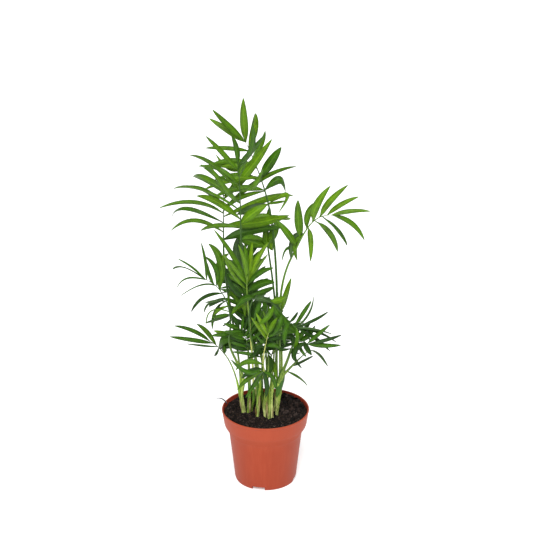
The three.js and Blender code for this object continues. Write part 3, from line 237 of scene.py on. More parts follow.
                  (0.975, 49.9, -6, 45.6, -1, 3.2, 6.8, 1, 2), (0.998, 31.8, -19.6, 51, -8.1, 0.7, 6.2, 1, 3),
                  (0.998, -32.3, -20.6, 30.4, -1.7, -5.7, 6, -10, 3),
                  (0.998, -3.6, -20, 40.5, -1.2, -3.1, 7.1, -8, 4),
                  (0.888, 99.3, 37.5, 49.6, 12.2, -11.2, 6.5, 1, 3),
                  (0.23, 170.9, -32.7, 49.1, 9.5, 4.8, 9.7, -4, 4),
                  (0.072, -163.5, -5.6, 38.8, 10.4, -0.5, 7.4, -12, 1),
                  (0.45, 90.8, -27.4, 29.6, 3.5, 16.1, 8.3, 76, 4),)),
    'front_young': dict(stem='front', foot=(2.6, -8, 114.5), petiole=89.4, rib=45.7,
        course=((-82.5, 68.1), (158.6, 69.7), (-69.6, 68.5), (-75.6, 62.8), (-70.3, 58.3)),
        face=(0, -0.92, 0.39),
        leaflets=((0.647, -44.9, -14.9, 39.1, -3.1, -1.3, 6, 6, 0),
                  (0.845, -39.5, -16.9, 37.3, 3.4, 2.4, 6, 8, 0),
                  (0.945, -29.8, -25.4, 33.4, -1.4, 0.5, 3.9, -6, 1),
                  (0.945, 14, -29.5, 26.9, 2.1, -1.3, 6.5, -2, 1),
                  (0.745, 60.6, -19.4, 31.1, 0.9, -2, 6.3, 6, 3),
                  (0.505, -53.5, -2.1, 19.6, 7.3, 3.1, 7.5, -12, 3),
                  (0.603, 90, -17.4, 34.4, 2.3, -7.1, 7, -4, 4),
                  (0.318, 93.7, -2.9, 21.6, 0.8, -7.9, 6.8, -40, 3),
                  (0.318, -149.7, 10.2, 26.2, -6.6, 1.5, 8.3, 12, 4),)),
    'right_spear': dict(stem='right_rear', foot=(21.2, 7.3, 127), petiole=110.4, rib=20.9,
        course=((53.8, 82.9), (3, 93.8), (111.8, 88.5), (74.2, 76.1), (64.5, 73.1)),
        face=(0, -0.92, 0.39),
        leaflets=((0.378, 12.4, 9.6, 53.5, 3, -0.7, 8.2, 9, 1), (0.92, -1.5, 1.4, 27.4, -5.7, -1.9, 4.4, 48),
                  (0.42, -11.5, 0.8, 28.3, 2, -3.5, 4.5, 1, 3), (0.05, -35.7, -11.4, 33.3, 1.5, -7.8, 4.5, 1, 2),)),
    'centre_young': dict(stem='front_right', foot=(5.7, -6.7, 125), petiole=61.1, rib=56.8,
        course=((168, 88.1), (183.1, 71.9), (151.2, 75.4), (134.3, 67.3), (138, 68.3)),
        face=(0, -0.92, 0.39),
        even=(5, 50, 66.69, 23.7, -9.53, 0.05, 5.109, 188)),
    'centre_left': dict(stem='left_rear', foot=(-20.9, 5.3, 124), petiole=67.7, rib=42.9,
        course=((238.4, 89.1), (248.3, 86.4), (229.7, 82.5), (212.8, 81), (221.5, 44.9)),
        face=(0, -0.85, 0.5),
        even=(7, 35, 72.38, 40.31, -10.65, 0.13, 5.191, 384)),
    'centre_dark': dict(stem='centre_rear', foot=(-4.8, 15.7, 122), petiole=62.9, rib=40,
        course=((86.4, 88.7), (93.2, 95.4), (85.1, 91.6), (71.4, 57.3), (96.7, 64.3)),
        face=(0, -0.85, 0.5),
        even=(7, 49.53, 77.03, 33.64, 4.17, 0.11, 6.362, 466)),
    'mid_left': dict(stem='left_rear', foot=(-22.8, 13.5, 124), petiole=133, rib=71.7,
        course=((94.5, 82), (106, 85.9), (93.2, 74.6), (105.9, 70.2), (85.2, 48.2)),
        face=(0, -0.85, 0.5),
        even=(6, 41.14, 55.92, 27.4, -14, 0.08, 6.023, 493),
        more=((0.515, -9.7, 34.2, 58.7, -1.9, -7.6, 10.4, -20, 5),)),
    'mid_centre': dict(stem='rear', foot=(0.2, 17.1, 123), petiole=136, rib=50,
        course=((135.8, 84.6), (138.2, 72.2), (118, 63.5), (115, 47), (105.8, 13.8)),
        face=(0, -0.75, 0.65),
        even=(6, 40.79, 70.07, 34.71, 17.73, 0.11, 5.796, 29)),
    'back': dict(stem='rear', foot=(2.3, 24.6, 123), petiole=106.6, rib=83,
        course=((97, 82.5), (105.9, 87.1), (107, 47.1), (144.1, 18.4), (111.1, 4)),
        face=(0, 0.3, 0.95),
        even=(7, 45, 77.58, 24.7, -14, 0.12, 6.92, 285)),
    'back_left': dict(stem='rear_left', foot=(-13.2, 17.7, 121), petiole=106.4, rib=92.6,
        course=((98.4, 89.1), (92.3, 92.7), (122.6, 60.4), (101, 17.2), (96, -27.4)),
        face=(-0.2, 0.3, 0.95),
        even=(7, 40.85, 56.48, 26.84, 9.42, 0.08, 5.99, 476)),
    'back_right': dict(stem='rear', foot=(9, 18.6, 123), petiole=76.6, rib=60,
        course=((62.9, 80), (93.7, 44.2), (67.3, 57.7), (55.2, -33.8), (-10.4, -31.1)),
        face=(0.2, 0.3, 0.95),
        even=(8, 42.21, 73.26, 34.02, -14, 0.07, 5.89, 121)),
    'back_low': dict(stem='rear_left', foot=(-7.5, 25.7, 121), petiole=49, rib=81.6,
        course=((72.1, 69.4), (51, 30.2), (74.9, 32.6), (70.9, 15.9), (39.6, -42.2)),
        face=(0, 0.3, 0.95),
        even=(8, 46.87, 71.85, 25.53, 18.25, 0.12, 5.83, 17)),
}

# ---- small helpers ----------------------------------------------------------------------


def unit(v):
    v = np.asarray(v, float)
    return v / np.linalg.norm(v, axis=-1, keepdims=True)


def heading(azimuth, elevation):
    a, e = math.radians(azimuth), math.radians(elevation)
    return np.array([math.cos(e) * math.cos(a), math.cos(e) * math.sin(a), math.sin(e)])


def chance(i, k):
    v = math.sin(i * 12.9898 + k * 78.233) * 43758.5453
    return v - math.floor(v)


def smooth(x, a, b):
    t = np.clip((np.asarray(x, float) - a) / (b - a), 0, 1)
    return t * t * (3 - 2 * t)


def sweep(start, d0, dm, d1, length, steps):
    path = [np.array(start, float)]
    for i in range(steps):
        s = (i + 0.5) / steps
        path.append(path[-1] + unit(d0 * (1 - s) ** 2 + dm * 2 * s * (1 - s) + d1 * s * s) * length / steps)
    return np.array(path)


def at(path, t):
    x = min(max(t, 0.0), 1.0) * (len(path) - 1)
    i = min(int(x), len(path) - 2)
    return path[i] * (1 - (x - i)) + path[i + 1] * (x - i)


def tangents(path):
    return unit(np.gradient(path, axis=0))


def transported(path, up0, k0=0):
    """A side direction carried along the path without twist from station k0."""
    t = tangents(path)
    up = np.zeros_like(path)
    up[k0] = unit(up0 - t[k0] * np.dot(up0, t[k0]))
    for order in (range(k0 + 1, len(path)), range(k0 - 1, -1, -1)):
        prev = k0
        for i in order:
            u = up[prev] - t[i] * np.dot(up[prev], t[i])
            up[i] = unit(u)
            prev = i
    return up


class Gather:
    """Collects many small meshes into one."""

    def __init__(self):
        self.v, self.f, self.m, self.uv, self.sharp = [], [], [], [], []
        self.n = 0

    def add(self, verts, faces, material=0, uv=None, sharp=()):
        verts = np.asarray(verts, float)
        self.v.append(verts)
        self.f += [tuple(i + self.n for i in f) for f in faces]
        self.m += [material] * len(faces) if np.isscalar(material) else list(material)
        self.uv.append(np.zeros((len(verts), 2)) if uv is None else np.asarray(uv, float))
        self.sharp += [(a + self.n, b + self.n) for a, b in sharp]
        self.n += len(verts)

    def build(self, name, materials, smooth_faces=True):
        mesh = bpy.data.meshes.new(name)
        v = np.concatenate(self.v) * MM
        mesh.from_pydata(v.tolist(), [], self.f)
        for mat in materials:
            mesh.materials.append(mat)
        mesh.polygons.foreach_set("material_index", self.m)
        mesh.polygons.foreach_set("use_smooth", [smooth_faces] * len(mesh.polygons))
        uv = np.concatenate(self.uv)
        layer = mesh.uv_layers.new(name="lay")
        loops = np.zeros(len(mesh.loops), int)
        mesh.loops.foreach_get("vertex_index", loops)
        layer.data.foreach_set("uv", uv[loops].astype(np.float32).ravel())
        if self.sharp:
            want = {(min(a, b), max(a, b)) for a, b in self.sharp}
            ends = np.zeros(len(mesh.edges) * 2, int)
            mesh.edges.foreach_get("vertices", ends)
            flags = [(min(a, b), max(a, b)) in want for a, b in ends.reshape(-1, 2).tolist()]
            att = mesh.attributes.new("sharp_edge", "BOOLEAN", "EDGE")
            att.data.foreach_set("value", flags)
        mesh.update()
        obj = bpy.data.objects.new(name, mesh)
        bpy.context.scene.collection.objects.link(obj)
        return obj


def tube(path, radius_of, sides, up0, cap=(True, True)):
    """A closed tube; radius_of(s, angle) gives the radius at a share of the length and an angle from up0."""
    up = transported(path, np.asarray(up0, float))
    side = np.cross(tangents(path), up)
    n = len(path)
    ang = np.arange(sides) / sides * 2 * math.pi
    seg = np.r_[0, np.cumsum(np.linalg.norm(np.diff(path, axis=0), axis=1))]
    s = seg / seg[-1]
    verts, uv = [], []
    for i in range(n):
        r = radius_of(s[i], ang)
        ring = path[i] + np.outer(np.cos(ang) * r, up[i]) + np.outer(np.sin(ang) * r, side[i])
        verts.append(ring)
        uv.append(np.c_[ang / (2 * math.pi), np.full(sides, seg[i])])
    verts, uv = np.concatenate(verts), np.concatenate(uv)
    faces = []
    for i in range(n - 1):
        for j in range(sides):
            k = (j + 1) % sides
            faces.append((i * sides + j, i * sides + k, (i + 1) * sides + k, (i + 1) * sides + j))
    if cap[0]:
        faces.append(tuple(reversed(range(sides))))
    if cap[1]:
        faces.append(tuple((n - 1) * sides + j for j in range(sides)))
    return verts, faces, uv


# ---- materials --------------------------------------------------------------------------


def linear(r, g, b):
    return tuple((c / 255 / 12.92 if c / 255 <= 0.04045 else ((c / 255 + 0.055) / 1.055) ** 2.4) for c in (r, g, b)) + (1.0,)


class Mat:
    """A thin layer over one node tree."""

    def __init__(self, name, **sockets):
        self.m = bpy.data.materials.new(name)
        self.m.use_nodes = True
        self.t = self.m.node_tree
        self.bsdf = self.t.nodes["Principled BSDF"]
        for k, v in sockets.items():
            self.bsdf.inputs[k.replace("_", " ")].default_value = v

    def node(self, kind, **props):
        n = self.t.nodes.new(kind)
        inputs = props.pop("inputs", {})
        for k, v in props.items():
            setattr(n, k, v)
        for k, v in inputs.items():
            if hasattr(v, "links") or isinstance(v, bpy.types.NodeSocket):
                self.t.links.new(v, n.inputs[k])
            else:
                n.inputs[k].default_value = v
        return n

    def math(self, op, a, b=0.0, c=None, clamp=False):
        n = self.t.nodes.new("ShaderNodeMath")
        n.operation, n.use_clamp = op, clamp
        for i, v in enumerate((a, b) if c is None else (a, b, c)):
            if isinstance(v, bpy.types.NodeSocket):
                self.t.links.new(v, n.inputs[i])
            else:
                n.inputs[i].default_value = v
        return n.outputs[0]

    def mix(self, fac, a, b, blend="MIX"):
        n = self.t.nodes.new("ShaderNodeMix")
        n.data_type, n.blend_type, n.clamp_factor = "RGBA", blend, True
        for i, v in ((0, fac), (6, a), (7, b)):
            if isinstance(v, bpy.types.NodeSocket):
                self.t.links.new(v, n.inputs[i])
            else:
                n.inputs[i].default_value = v
        return n.outputs[2]

    def ramp(self, fac, lo, hi, out_lo=0.0, out_hi=1.0):
        n = self.t.nodes.new("ShaderNodeMapRange")
        n.interpolation_type = "SMOOTHSTEP"
        self.t.links.new(fac, n.inputs[0])
        for i, v in enumerate((lo, hi, out_lo, out_hi)):
            n.inputs[1 + i].default_value = v
        return n.outputs[0]

    def coords(self, scale=(1, 1, 1)):
        tc = self.node("ShaderNodeTexCoord")
        mp = self.node("ShaderNodeMapping", inputs={"Vector": tc.outputs["Object"], "Scale": scale})
        return mp.outputs[0]

    def noise(self, vector, scale, detail=3.0, rough=0.55):
        n = self.node("ShaderNodeTexNoise", inputs={"Vector": vector, "Scale": scale, "Detail": detail, "Roughness": rough})
        return n.outputs["Fac"]

    def bump(self, height, strength, distance, normal=None):
        ins = {"Height": height, "Strength": strength, "Distance": distance}
        if normal is not None:
            ins["Normal"] = normal
        return self.node("ShaderNodeBump", inputs=ins).outputs[0]

    def set(self, name, socket):
        self.t.links.new(socket, self.bsdf.inputs[name])
        return self


def leaf_material(name, colour, vein, rough=0.36, under=False):
    m = Mat(name, Roughness=rough, Subsurface_Weight=0.0, Specular_IOR_Level=0.17 if not under else 0.12)
    uv = m.node("ShaderNodeUVMap", uv_map="lay").outputs[0]
    xy = m.node("ShaderNodeSeparateXYZ", inputs={"Vector": uv})
    u = m.math("ABSOLUTE", m.math("MULTIPLY_ADD", xy.outputs[0], 2.0, -1.0))
    # the main vein, two side veins on each half, and fine ones between
    mid = m.ramp(u, 0.03, 0.16, 1.0, 0.0)
    third = m.math("PINGPONG", m.math("MULTIPLY", u, 3.0), 0.5)
    side = m.ramp(third, 0.0, 0.12, 1.0, 0.0)
    fine = m.math("SINE", m.math("MULTIPLY", xy.outputs[0], 150.0))
    streak = m.noise(m.node("ShaderNodeMapping", inputs={"Vector": uv, "Scale": (9.0, 1.6, 1.0)}).outputs[0], 4.0, 3.0, 0.6)
    big = m.noise(m.coords((1, 1, 1)), 105.0, 3.0)
    small = m.noise(m.coords((1, 1, 1)), 620.0, 2.0)
    deep = tuple(x * 0.42 for x in colour[:3]) + (1,)
    light = tuple(min(1, x * y + z) for x, y, z in zip(colour[:3], (1.9, 1.55, 1.3), (0.006, 0.006, 0.0))) + (1,)
    c = m.mix(m.math("MULTIPLY", m.ramp(big, 0.40, 0.66), 0.75), colour, deep)
    c = m.mix(m.math("MULTIPLY", m.ramp(streak, 0.46, 0.66), 0.68), c, light)
    c = m.mix(m.math("MULTIPLY", m.ramp(small, 0.45, 0.75), 0.25), c, light)
    # darker to the rim (painted shade of the folded halves), to the foot, and along the side veins
    c = m.mix(m.math("MULTIPLY", m.ramp(u, 0.50, 1.0), 0.55), c, deep)
    c = m.mix(m.math("MULTIPLY", m.ramp(xy.outputs[1], 0.0, 0.16, 1.0, 0.0), 0.45), c, deep)
    c = m.mix(m.math("MULTIPLY", side, 0.34), c, deep)
    c = m.mix(m.math("MULTIPLY", mid, 0.66), c, vein)
    m.set("Base Color", c)
    h = m.math("ADD", m.math("MULTIPLY", mid, 0.9), m.math("MULTIPLY", side, -0.6))
    h = m.math("ADD", h, m.math("MULTIPLY", fine, 0.14))
    m.set("Normal", m.bump(h, 0.6, 0.00018))
    m.set("Roughness", m.math("MULTIPLY_ADD", big, 0.22, rough - 0.11))
    return m.m


def stalk_material(name, low, high, z0, z1, streak, brown=0.25, rough=0.46):
    """Pale at the foot and greener upward, with long streaks and papery brown patches."""
    m = Mat(name, Roughness=rough, Specular_IOR_Level=0.28)
    tc = m.node("ShaderNodeTexCoord")
    z = m.node("ShaderNodeSeparateXYZ", inputs={"Vector": tc.outputs["Object"]}).outputs[2]
    wav = m.noise(m.coords((1, 1, 0.25)), 55.0, 2.0)
    zz = m.math("ADD", z, m.math("MULTIPLY_ADD", wav, 0.03, -0.015))
    c = m.mix(m.ramp(zz, z0, z1), low, high)
    lines = m.noise(m.coords((1, 1, 0.045)), 900.0, 3.0, 0.6)
    c = m.mix(m.math("MULTIPLY", m.ramp(lines, 0.44, 0.60), 0.8), c, streak)
    patch = m.ramp(m.noise(m.coords((1, 1, 0.35)), 170.0, 4.0, 0.6), 0.60, 0.70)
    low_only = m.ramp(z, 0.100, 0.150, 1.0, 0.0)
    c = m.mix(m.math("MULTIPLY", m.math("MULTIPLY", patch, low_only), brown), c, linear(122, 90, 44))
    spots = m.ramp(m.noise(m.coords((1, 1, 0.5)), 1500.0, 2.0), 0.62, 0.74)
    c = m.mix(m.math("MULTIPLY", spots, 0.3), c, tuple(min(1, x * 1.45) for x in high[:3]) + (1,))
    m.set("Base Color", c)
    m.set("Normal", m.bump(lines, 0.45, 0.00025))
    m.set("Roughness", m.math("MULTIPLY_ADD", lines, 0.2, rough - 0.1))
    return m.m


def pot_material(name, inner):
    m = Mat(name, Roughness=0.5, Specular_IOR_Level=0.22)
    if inner:
        # the inner wall takes darker copies of the outer colours: painted shade inside the pot
        base, light, deep = linear(142, 50, 32), linear(156, 60, 40), linear(122, 42, 28)
    else:
        base, light, deep = linear(149, 57, 30), linear(158, 66, 39), linear(136, 49, 25)
    flow = m.noise(m.coords((1, 1, 0.03)), 260.0, 4.0, 0.6)
    broad = m.noise(m.coords((1, 1, 0.35)), 26.0, 3.0)
    grain = m.noise(m.coords((1, 1, 1)), 2600.0, 2.0)
    c = m.mix(m.math("MULTIPLY", m.ramp(flow, 0.35, 0.66), 0.55), base, light)
    c = m.mix(m.math("MULTIPLY", m.ramp(broad, 0.45, 0.75), 0.45), c, deep)
    z = m.node("ShaderNodeSeparateXYZ", inputs={"Vector": m.node("ShaderNodeTexCoord").outputs["Object"]}).outputs[2]
    rough = m.math("MULTIPLY_ADD", flow, 0.18, 0.44)
    if inner:  # peat dust on the wall just above the ground
        dirt = m.ramp(m.math("ADD", m.math("MULTIPLY", m.noise(m.coords(), 330.0, 4.0), 0.007), z), 0.0985, 0.1035, 1.0, 0.0)
        c = m.mix(m.math("MULTIPLY", dirt, 0.8), c, linear(48, 29, 20))
        rough = m.math("ADD", rough, m.math("MULTIPLY", dirt, 0.3))
    else:  # scuffs, painted shade darkening the foot, and painted light on the upper body and the shoulder
        scuff = m.ramp(m.noise(m.coords((1, 1, 0.3)), 420.0, 5.0, 0.7), 0.68, 0.8)
        c = m.mix(m.math("MULTIPLY", scuff, 0.22), c, linear(205, 120, 90))
        # painted shade: the body darkened toward the foot
        c = m.mix(m.ramp(z, 0.0, 0.060, 0.30, 0.0), c, linear(136, 50, 26))
        # painted light: the upper body lightened toward the collar
        c = m.mix(m.ramp(z, 0.060, 0.088, 0.0, 0.45), c, linear(164, 70, 44))
        # painted light: a lighter band over the shoulder, against the shade on its downward slope; the band is also
        # made rougher
        shoulder_painted_light = m.math("MULTIPLY", m.ramp(z, 0.0720, 0.0750), m.ramp(z, 0.0820, 0.0850, 1.0, 0.0))
        c = m.mix(m.math("MULTIPLY", shoulder_painted_light, 0.12), c, linear(172, 76, 48))
        rough = m.math("ADD", rough, m.math("MULTIPLY", shoulder_painted_light, 0.22))
    m.set("Base Color", c)
    h = m.math("ADD", m.math("MULTIPLY", flow, 0.7), m.math("MULTIPLY", grain, 0.16))
    m.set("Normal", m.bump(h, 0.22, 0.00035))
    m.set("Roughness", rough)
    return m.m


def soil_material(name, dark, light, scale=1.0):
    m = Mat(name, Roughness=0.95, Specular_IOR_Level=0.18)
    a = m.noise(m.coords(), 420.0 * scale, 6.0, 0.7)
    b = m.noise(m.coords(), 2100.0 * scale, 4.0, 0.7)
    c = m.mix(m.ramp(a, 0.35, 0.68), dark, light)
    c = m.mix(m.math("MULTIPLY", m.ramp(b, 0.6, 0.75), 0.5), c, tuple(min(1, x * 2.6) for x in light[:3]) + (1,))
    m.set("Base Color", c)
    m.set("Normal", m.bump(m.math("ADD", a, m.math("MULTIPLY", b, 0.4)), 0.9, 0.0009))
    m.set("Roughness", m.math("MULTIPLY_ADD", b, 0.2, 0.78))
    return m.m


def plain_fibre(name, colour, rough=0.75):
    m = Mat(name, Roughness=rough, Specular_IOR_Level=0.25)
    a = m.noise(m.coords((1, 1, 1)), 700.0, 4.0)
    m.set("Base Color", m.mix(m.ramp(a, 0.3, 0.7), colour, tuple(x * 0.55 for x in colour[:3]) + (1,)))
    m.set("Normal", m.bump(a, 0.6, 0.0003))
    return m.m


# leaf tones from young to old, and a grey-blue painted sheen, each with a paler, duller underside
TONES = [
    ("leaf_bright", (91, 131, 5), (132, 165, 28)),
    ("leaf_fresh", (77, 118, 4), (110, 149, 22)),
    ("leaf_mid", (64, 105, 4), (92, 133, 21)),
    ("leaf_deep", (47, 88, 4), (73, 115, 21)),
    ("leaf_dark", (27, 61, 4), (48, 86, 18)),
    # painted sheen: a grey-blue tone standing for the reflection of the white surroundings on bent leaflets
    ("leaf_painted_sheen", (50, 80, 34), (78, 105, 58)),
]
LEAF_MATS = []
for tone, top_c, vein_c in TONES:
    LEAF_MATS.append(leaf_material(tone, linear(*top_c), linear(*vein_c)))
for tone, top_c, vein_c in TONES:
    mixed = [a * 0.78 + b * 0.22 for a, b in zip(top_c, (104, 132, 74))]
    LEAF_MATS.append(leaf_material(tone + "_under", linear(*mixed), linear(*[min(255, c * 1.15) for c in mixed]), 0.48, True))

# which tone a frond takes, from 0 young to 4 old; the darker tones of the low and inner fronds are partly their age and
# partly painted shade under the crown
FROND_TONE = dict(
    top=1.4, upper_left=1.8, left_high=2.3, right_high=1.5, left_mid=2.7, left_low=3.5, right_arch=3.5, right_low=3.5,
    right_fore=3.3, spear=0.9, mid_back=2.3, front_low=3.6, front_young=0.5, right_spear=1.8, centre_young=3.2,
    centre_left=3.3, centre_dark=3.6, mid_left=3.0, mid_centre=3.2, back=3.3, back_left=2.8, back_right=3.2, back_low=3.5,
)


# ---- the pot ----------------------------------------------------------------------------


def body_radius(z):
    zs = [0, 3, BODY_TOP, COLLAR_FOOT, POT_HEIGHT]
    rs = [41.8, BODY_FOOT_RADIUS, BODY_TOP_RADIUS, COLLAR_FOOT_RADIUS, RIM_RADIUS]
    return float(np.interp(z, zs, rs))


def rounded(points, radii, steps=5):
    """The profile with its corners turned over small arcs."""
    out = []
    pts = [np.array(p, float) for p in points]
    for i, (p, r) in enumerate(zip(pts, radii)):
        if r <= 0 or i in (0, len(pts) - 1):
            out.append(p)
            continue
        a, b = pts[i - 1] - p, pts[i + 1] - p
        ra = min(r, np.linalg.norm(a) * 0.45, np.linalg.norm(b) * 0.45)
        a, b = p + unit(a) * ra, p + unit(b) * ra
        for k in range(steps + 1):
            t = k / steps
            out.append(a * (1 - t) ** 2 + p * 2 * t * (1 - t) + b * t * t)
    return np.array(out)


def build_pot():
    top = FLOOR_UNDERSIDE + FLOOR_THICK
    corner = [
        ((0.0, 0.0), 0), ((BOSS_RADIUS, 0.0), 0.5), ((BOSS_RADIUS + 0.6, FLOOR_UNDERSIDE), 0.5),
        ((FOOT_RING_INNER + 0.35, FLOOR_UNDERSIDE), 0.5), ((FOOT_RING_INNER, 0.0), 0.35), ((41.7, 0.0), 0.6),
        ((BODY_FOOT_RADIUS, 3.2), 1.6), ((44.3, 18.0), 0), ((46.0, 34.0), 0), ((48.0, 52.0), 0), ((49.6, 66.5), 0),
        ((BODY_TOP_RADIUS, BODY_TOP), 5.5), ((COLLAR_FOOT_RADIUS, COLLAR_FOOT), 5.5), ((57.6, 90.0), 0), ((58.6, 96.5), 0),
        ((59.35, POT_HEIGHT - 3.0), 0.5), ((59.95, POT_HEIGHT - 2.4), 0.35), ((59.95, POT_HEIGHT), 0.85), ((58.1, POT_HEIGHT), 0.85),
        ((58.0, POT_HEIGHT - 3.0), 0.5), ((COLLAR_FOOT_RADIUS - POT_WALL, COLLAR_FOOT + 0.3), 1.4), ((BODY_TOP_RADIUS - POT_WALL, BODY_TOP + 0.4), 1.4),
        ((body_radius(top + 2) - POT_WALL, top + 1.5), 0), ((body_radius(top) - POT_WALL - 1.5, top), 0.6), ((0.0, top), 0),
    ]
    prof = rounded([c[0] for c in corner], [c[1] for c in corner])
    half = math.degrees(NOTCH["wide"] / 2 / 42.4)
    angles = set(np.round(np.arange(0, 360, 360 / 240), 4).tolist())
    centres = [(NOTCH["first"] + i * 360 / NOTCH["count"]) % 360 for i in range(NOTCH["count"])]
    for c in centres:
        for d in (-half - 0.22, -half, half, half + 0.22):
            angles.add(round((c + d) % 360, 4))
    angles = sorted(angles)
    keep = [angles[0]]
    for a in angles[1:]:  # no slivers beside the notch sides
        if a - keep[-1] > 0.15:
            keep.append(a)
    angles = keep

    def in_notch(a):
        return any(abs((a - c + 180) % 360 - 180) <= half + 0.02 for c in centres)

    verts, faces, kinds = [], [], []
    n, m = len(angles), len(prof)
    lip = int(np.argmax(prof[:, 1] + 0.001 * (prof[:, 0] < 59)))
    for a in angles:
        ca, sa = math.cos(math.radians(a)), math.sin(math.radians(a))
        cut = in_notch(a)
        for k, (r, z) in enumerate(prof):
            if k in (0, m - 1):
                continue
            zz = z
            if cut and r > FOOT_RING_INNER - 0.8 and z < NOTCH["high"]:
                zz = NOTCH["high"] - 0.06 + 0.02 * z
            # the moulded wall is a little uneven
            rr = r
            if r > 40 and z > 4:
                rr = r + 0.10 * math.sin(math.radians(a) * 2 + 0.7) * smooth(z, 10, 60) + 0.05 * math.sin(math.radians(a) * 5 + z * 0.05)
            verts.append((rr * ca, rr * sa, zz))
    w = m - 2
    for j in range(n):
        k = (j + 1) % n
        for i in range(w - 1):
            faces.append((j * w + i, k * w + i, k * w + i + 1, j * w + i + 1))
            kinds.append(1 if i + 1 >= lip + 2 else 0)
    bottom, inner = len(verts), len(verts) + 1
    verts += [(0, 0, prof[0][1]), (0, 0, prof[-1][1])]
    for j in range(n):
        k = (j + 1) % n
        faces.append((bottom, k * w, j * w))
        faces.append((inner, j * w + w - 1, k * w + w - 1))
        kinds += [0, 1]
    g = Gather()
    g.add(verts, faces, kinds)
    pot = g.build("pot_shell", POT_MATS)
    # drain holes through the floor
    cutters = Gather()
    for i in range(DRAIN["count"]):
        a = math.radians(DRAIN["first"] + i * 360 / DRAIN["count"])
        c = np.array([DRAIN["out"] * math.cos(a), DRAIN["out"] * math.sin(a)])
        ring, f, k = [], [], 28
        for z in (2.0, 7.0):
            for j in range(k):
                t = j / k * 2 * math.pi
                ring.append((c[0] + DRAIN["radius"] * math.cos(t), c[1] + DRAIN["radius"] * math.sin(t), z))
        f = [(j, (j + 1) % k, k + (j + 1) % k, k + j) for j in range(k)]
        f += [tuple(reversed(range(k))), tuple(range(k, 2 * k))]
        cutters.add(ring, f)
    tool = cutters.build("drain_tool", POT_MATS[:1], False)
    mod = pot.modifiers.new("drains", "BOOLEAN")
    mod.operation, mod.solver, mod.object = "DIFFERENCE", "EXACT", tool
    dg = bpy.context.evaluated_depsgraph_get()
    done = bpy.data.meshes.new_from_object(pot.evaluated_get(dg), depsgraph=dg)
    pot.modifiers.clear()
    old = pot.data
    pot.data = done
    bpy.data.meshes.remove(old)
    bpy.data.objects.remove(tool)
    pot.data.name = "pot_shell"
    pot.data.polygons.foreach_set("use_smooth", [True] * len(pot.data.polygons))
    pot.data.set_sharp_from_angle(angle=math.radians(42))
    return pot


# ---- the peat ---------------------------------------------------------------------------

rng = np.random.default_rng(4107)
GRID = rng.random((64, 64))


def value_noise(x, y):
    xi, yi = np.floor(x).astype(int), np.floor(y).astype(int)
    fx, fy = x - xi, y - yi
    fx, fy = fx * fx * (3 - 2 * fx), fy * fy * (3 - 2 * fy)
    g = lambda a, b: GRID[a % 64, b % 64]
    return (g(xi, yi) * (1 - fx) + g(xi + 1, yi) * fx) * (1 - fy) + (g(xi, yi + 1) * (1 - fx) + g(xi + 1, yi + 1) * fx) * fy


def ground(x, y):
    """Height of the peat: dished round the stems, lumpy, heaped at the right rear."""
    x, y = np.asarray(x, float), np.asarray(y, float)
    r = np.hypot(x, y)
    rear = np.exp(-(((x - 36) / 19) ** 2 + ((y - 24) / 22) ** 2))
    z = SOIL_TOP - 0.6 + SOIL_HEAP * smooth(r, 33, 54) * (0.75 + 0.25 * np.clip(y / 40, -1, 1)) + 1.6 * rear * smooth(r, 20, 36)
    z += (1.5 + 1.2 * rear) * (value_noise(x / 8 + 3, y / 8 + 7) - 0.5) + (1.7 + 2.2 * rear) * (value_noise(x / 3.7, y / 3.7) - 0.5)
    z += (1.1 + 0.9 * rear) * (value_noise(x / 1.7 + 11, y / 1.7) - 0.5) + 0.4 * (value_noise(x / 0.8, y / 0.8 + 5) - 0.5)
    return np.minimum(z, POT_HEIGHT - 2.4) - 0.6 * smooth(r, 54.5, 57.5)


def build_soil():
    top = FLOOR_UNDERSIDE + FLOOR_THICK + 0.35
    inner = lambda z: body_radius(z) - POT_WALL - 0.55
    n, rings = 240, 92
    verts = [(0, 0, float(ground(0, 0)))]
    edge = inner(97.0) - 0.1
    for i in range(1, rings + 1):
        r = edge * i / rings
        a = np.arange(n) / n * 2 * math.pi + 0.5 * (i % 2) * 2 * math.pi / n
        x, y = r * np.cos(a), r * np.sin(a)
        verts += np.c_[x, y, ground(x, y)].tolist()
    faces = [(0, 1 + j, 1 + (j + 1) % n) for j in range(n)]
    for i in range(rings - 1):
        for j in range(n):
            a, b = 1 + i * n, 1 + (i + 1) * n
            faces.append((a + j, b + j, b + (j + 1) % n, a + (j + 1) % n))
    start = 1 + (rings - 1) * n
    for z, r in ((COLLAR_FOOT + 0.1, inner(COLLAR_FOOT)), (BODY_TOP - 0.2, inner(BODY_TOP)), (top + 1.5, inner(top + 2) - 0.2), (top, inner(top) - 2.2)):
        a = np.arange(n) / n * 2 * math.pi + 0.5 * (rings % 2) * 2 * math.pi / n
        base = len(verts)
        verts += np.c_[r * np.cos(a), r * np.sin(a), np.full(n, z)].tolist()
        for j in range(n):
            faces.append((start + j, base + j, base + (j + 1) % n, start + (j + 1) % n))
        start = base
    end = len(verts)
    verts.append((0, 0, top))
    faces += [(end, start + (j + 1) % n, start + j) for j in range(n)]
    g = Gather()
    g.add(verts, faces)
    return g.build("peat_bed", [SOIL_MATS[0]])


PHI = (1 + 5 ** 0.5) / 2
ICO_V = unit(np.array([(-1, PHI, 0), (1, PHI, 0), (-1, -PHI, 0), (1, -PHI, 0), (0, -1, PHI), (0, 1, PHI), (0, -1, -PHI), (0, 1, -PHI), (PHI, 0, -1), (PHI, 0, 1), (-PHI, 0, -1), (-PHI, 0, 1)], float))
ICO_F = [(0, 11, 5), (0, 5, 1), (0, 1, 7), (0, 7, 10), (0, 10, 11), (1, 5, 9), (5, 11, 4), (11, 10, 2), (10, 7, 6), (7, 1, 8), (3, 9, 4), (3, 4, 2), (3, 2, 6), (3, 6, 8), (3, 8, 9), (4, 9, 5), (2, 4, 11), (6, 2, 10), (8, 6, 7), (9, 8, 1)]


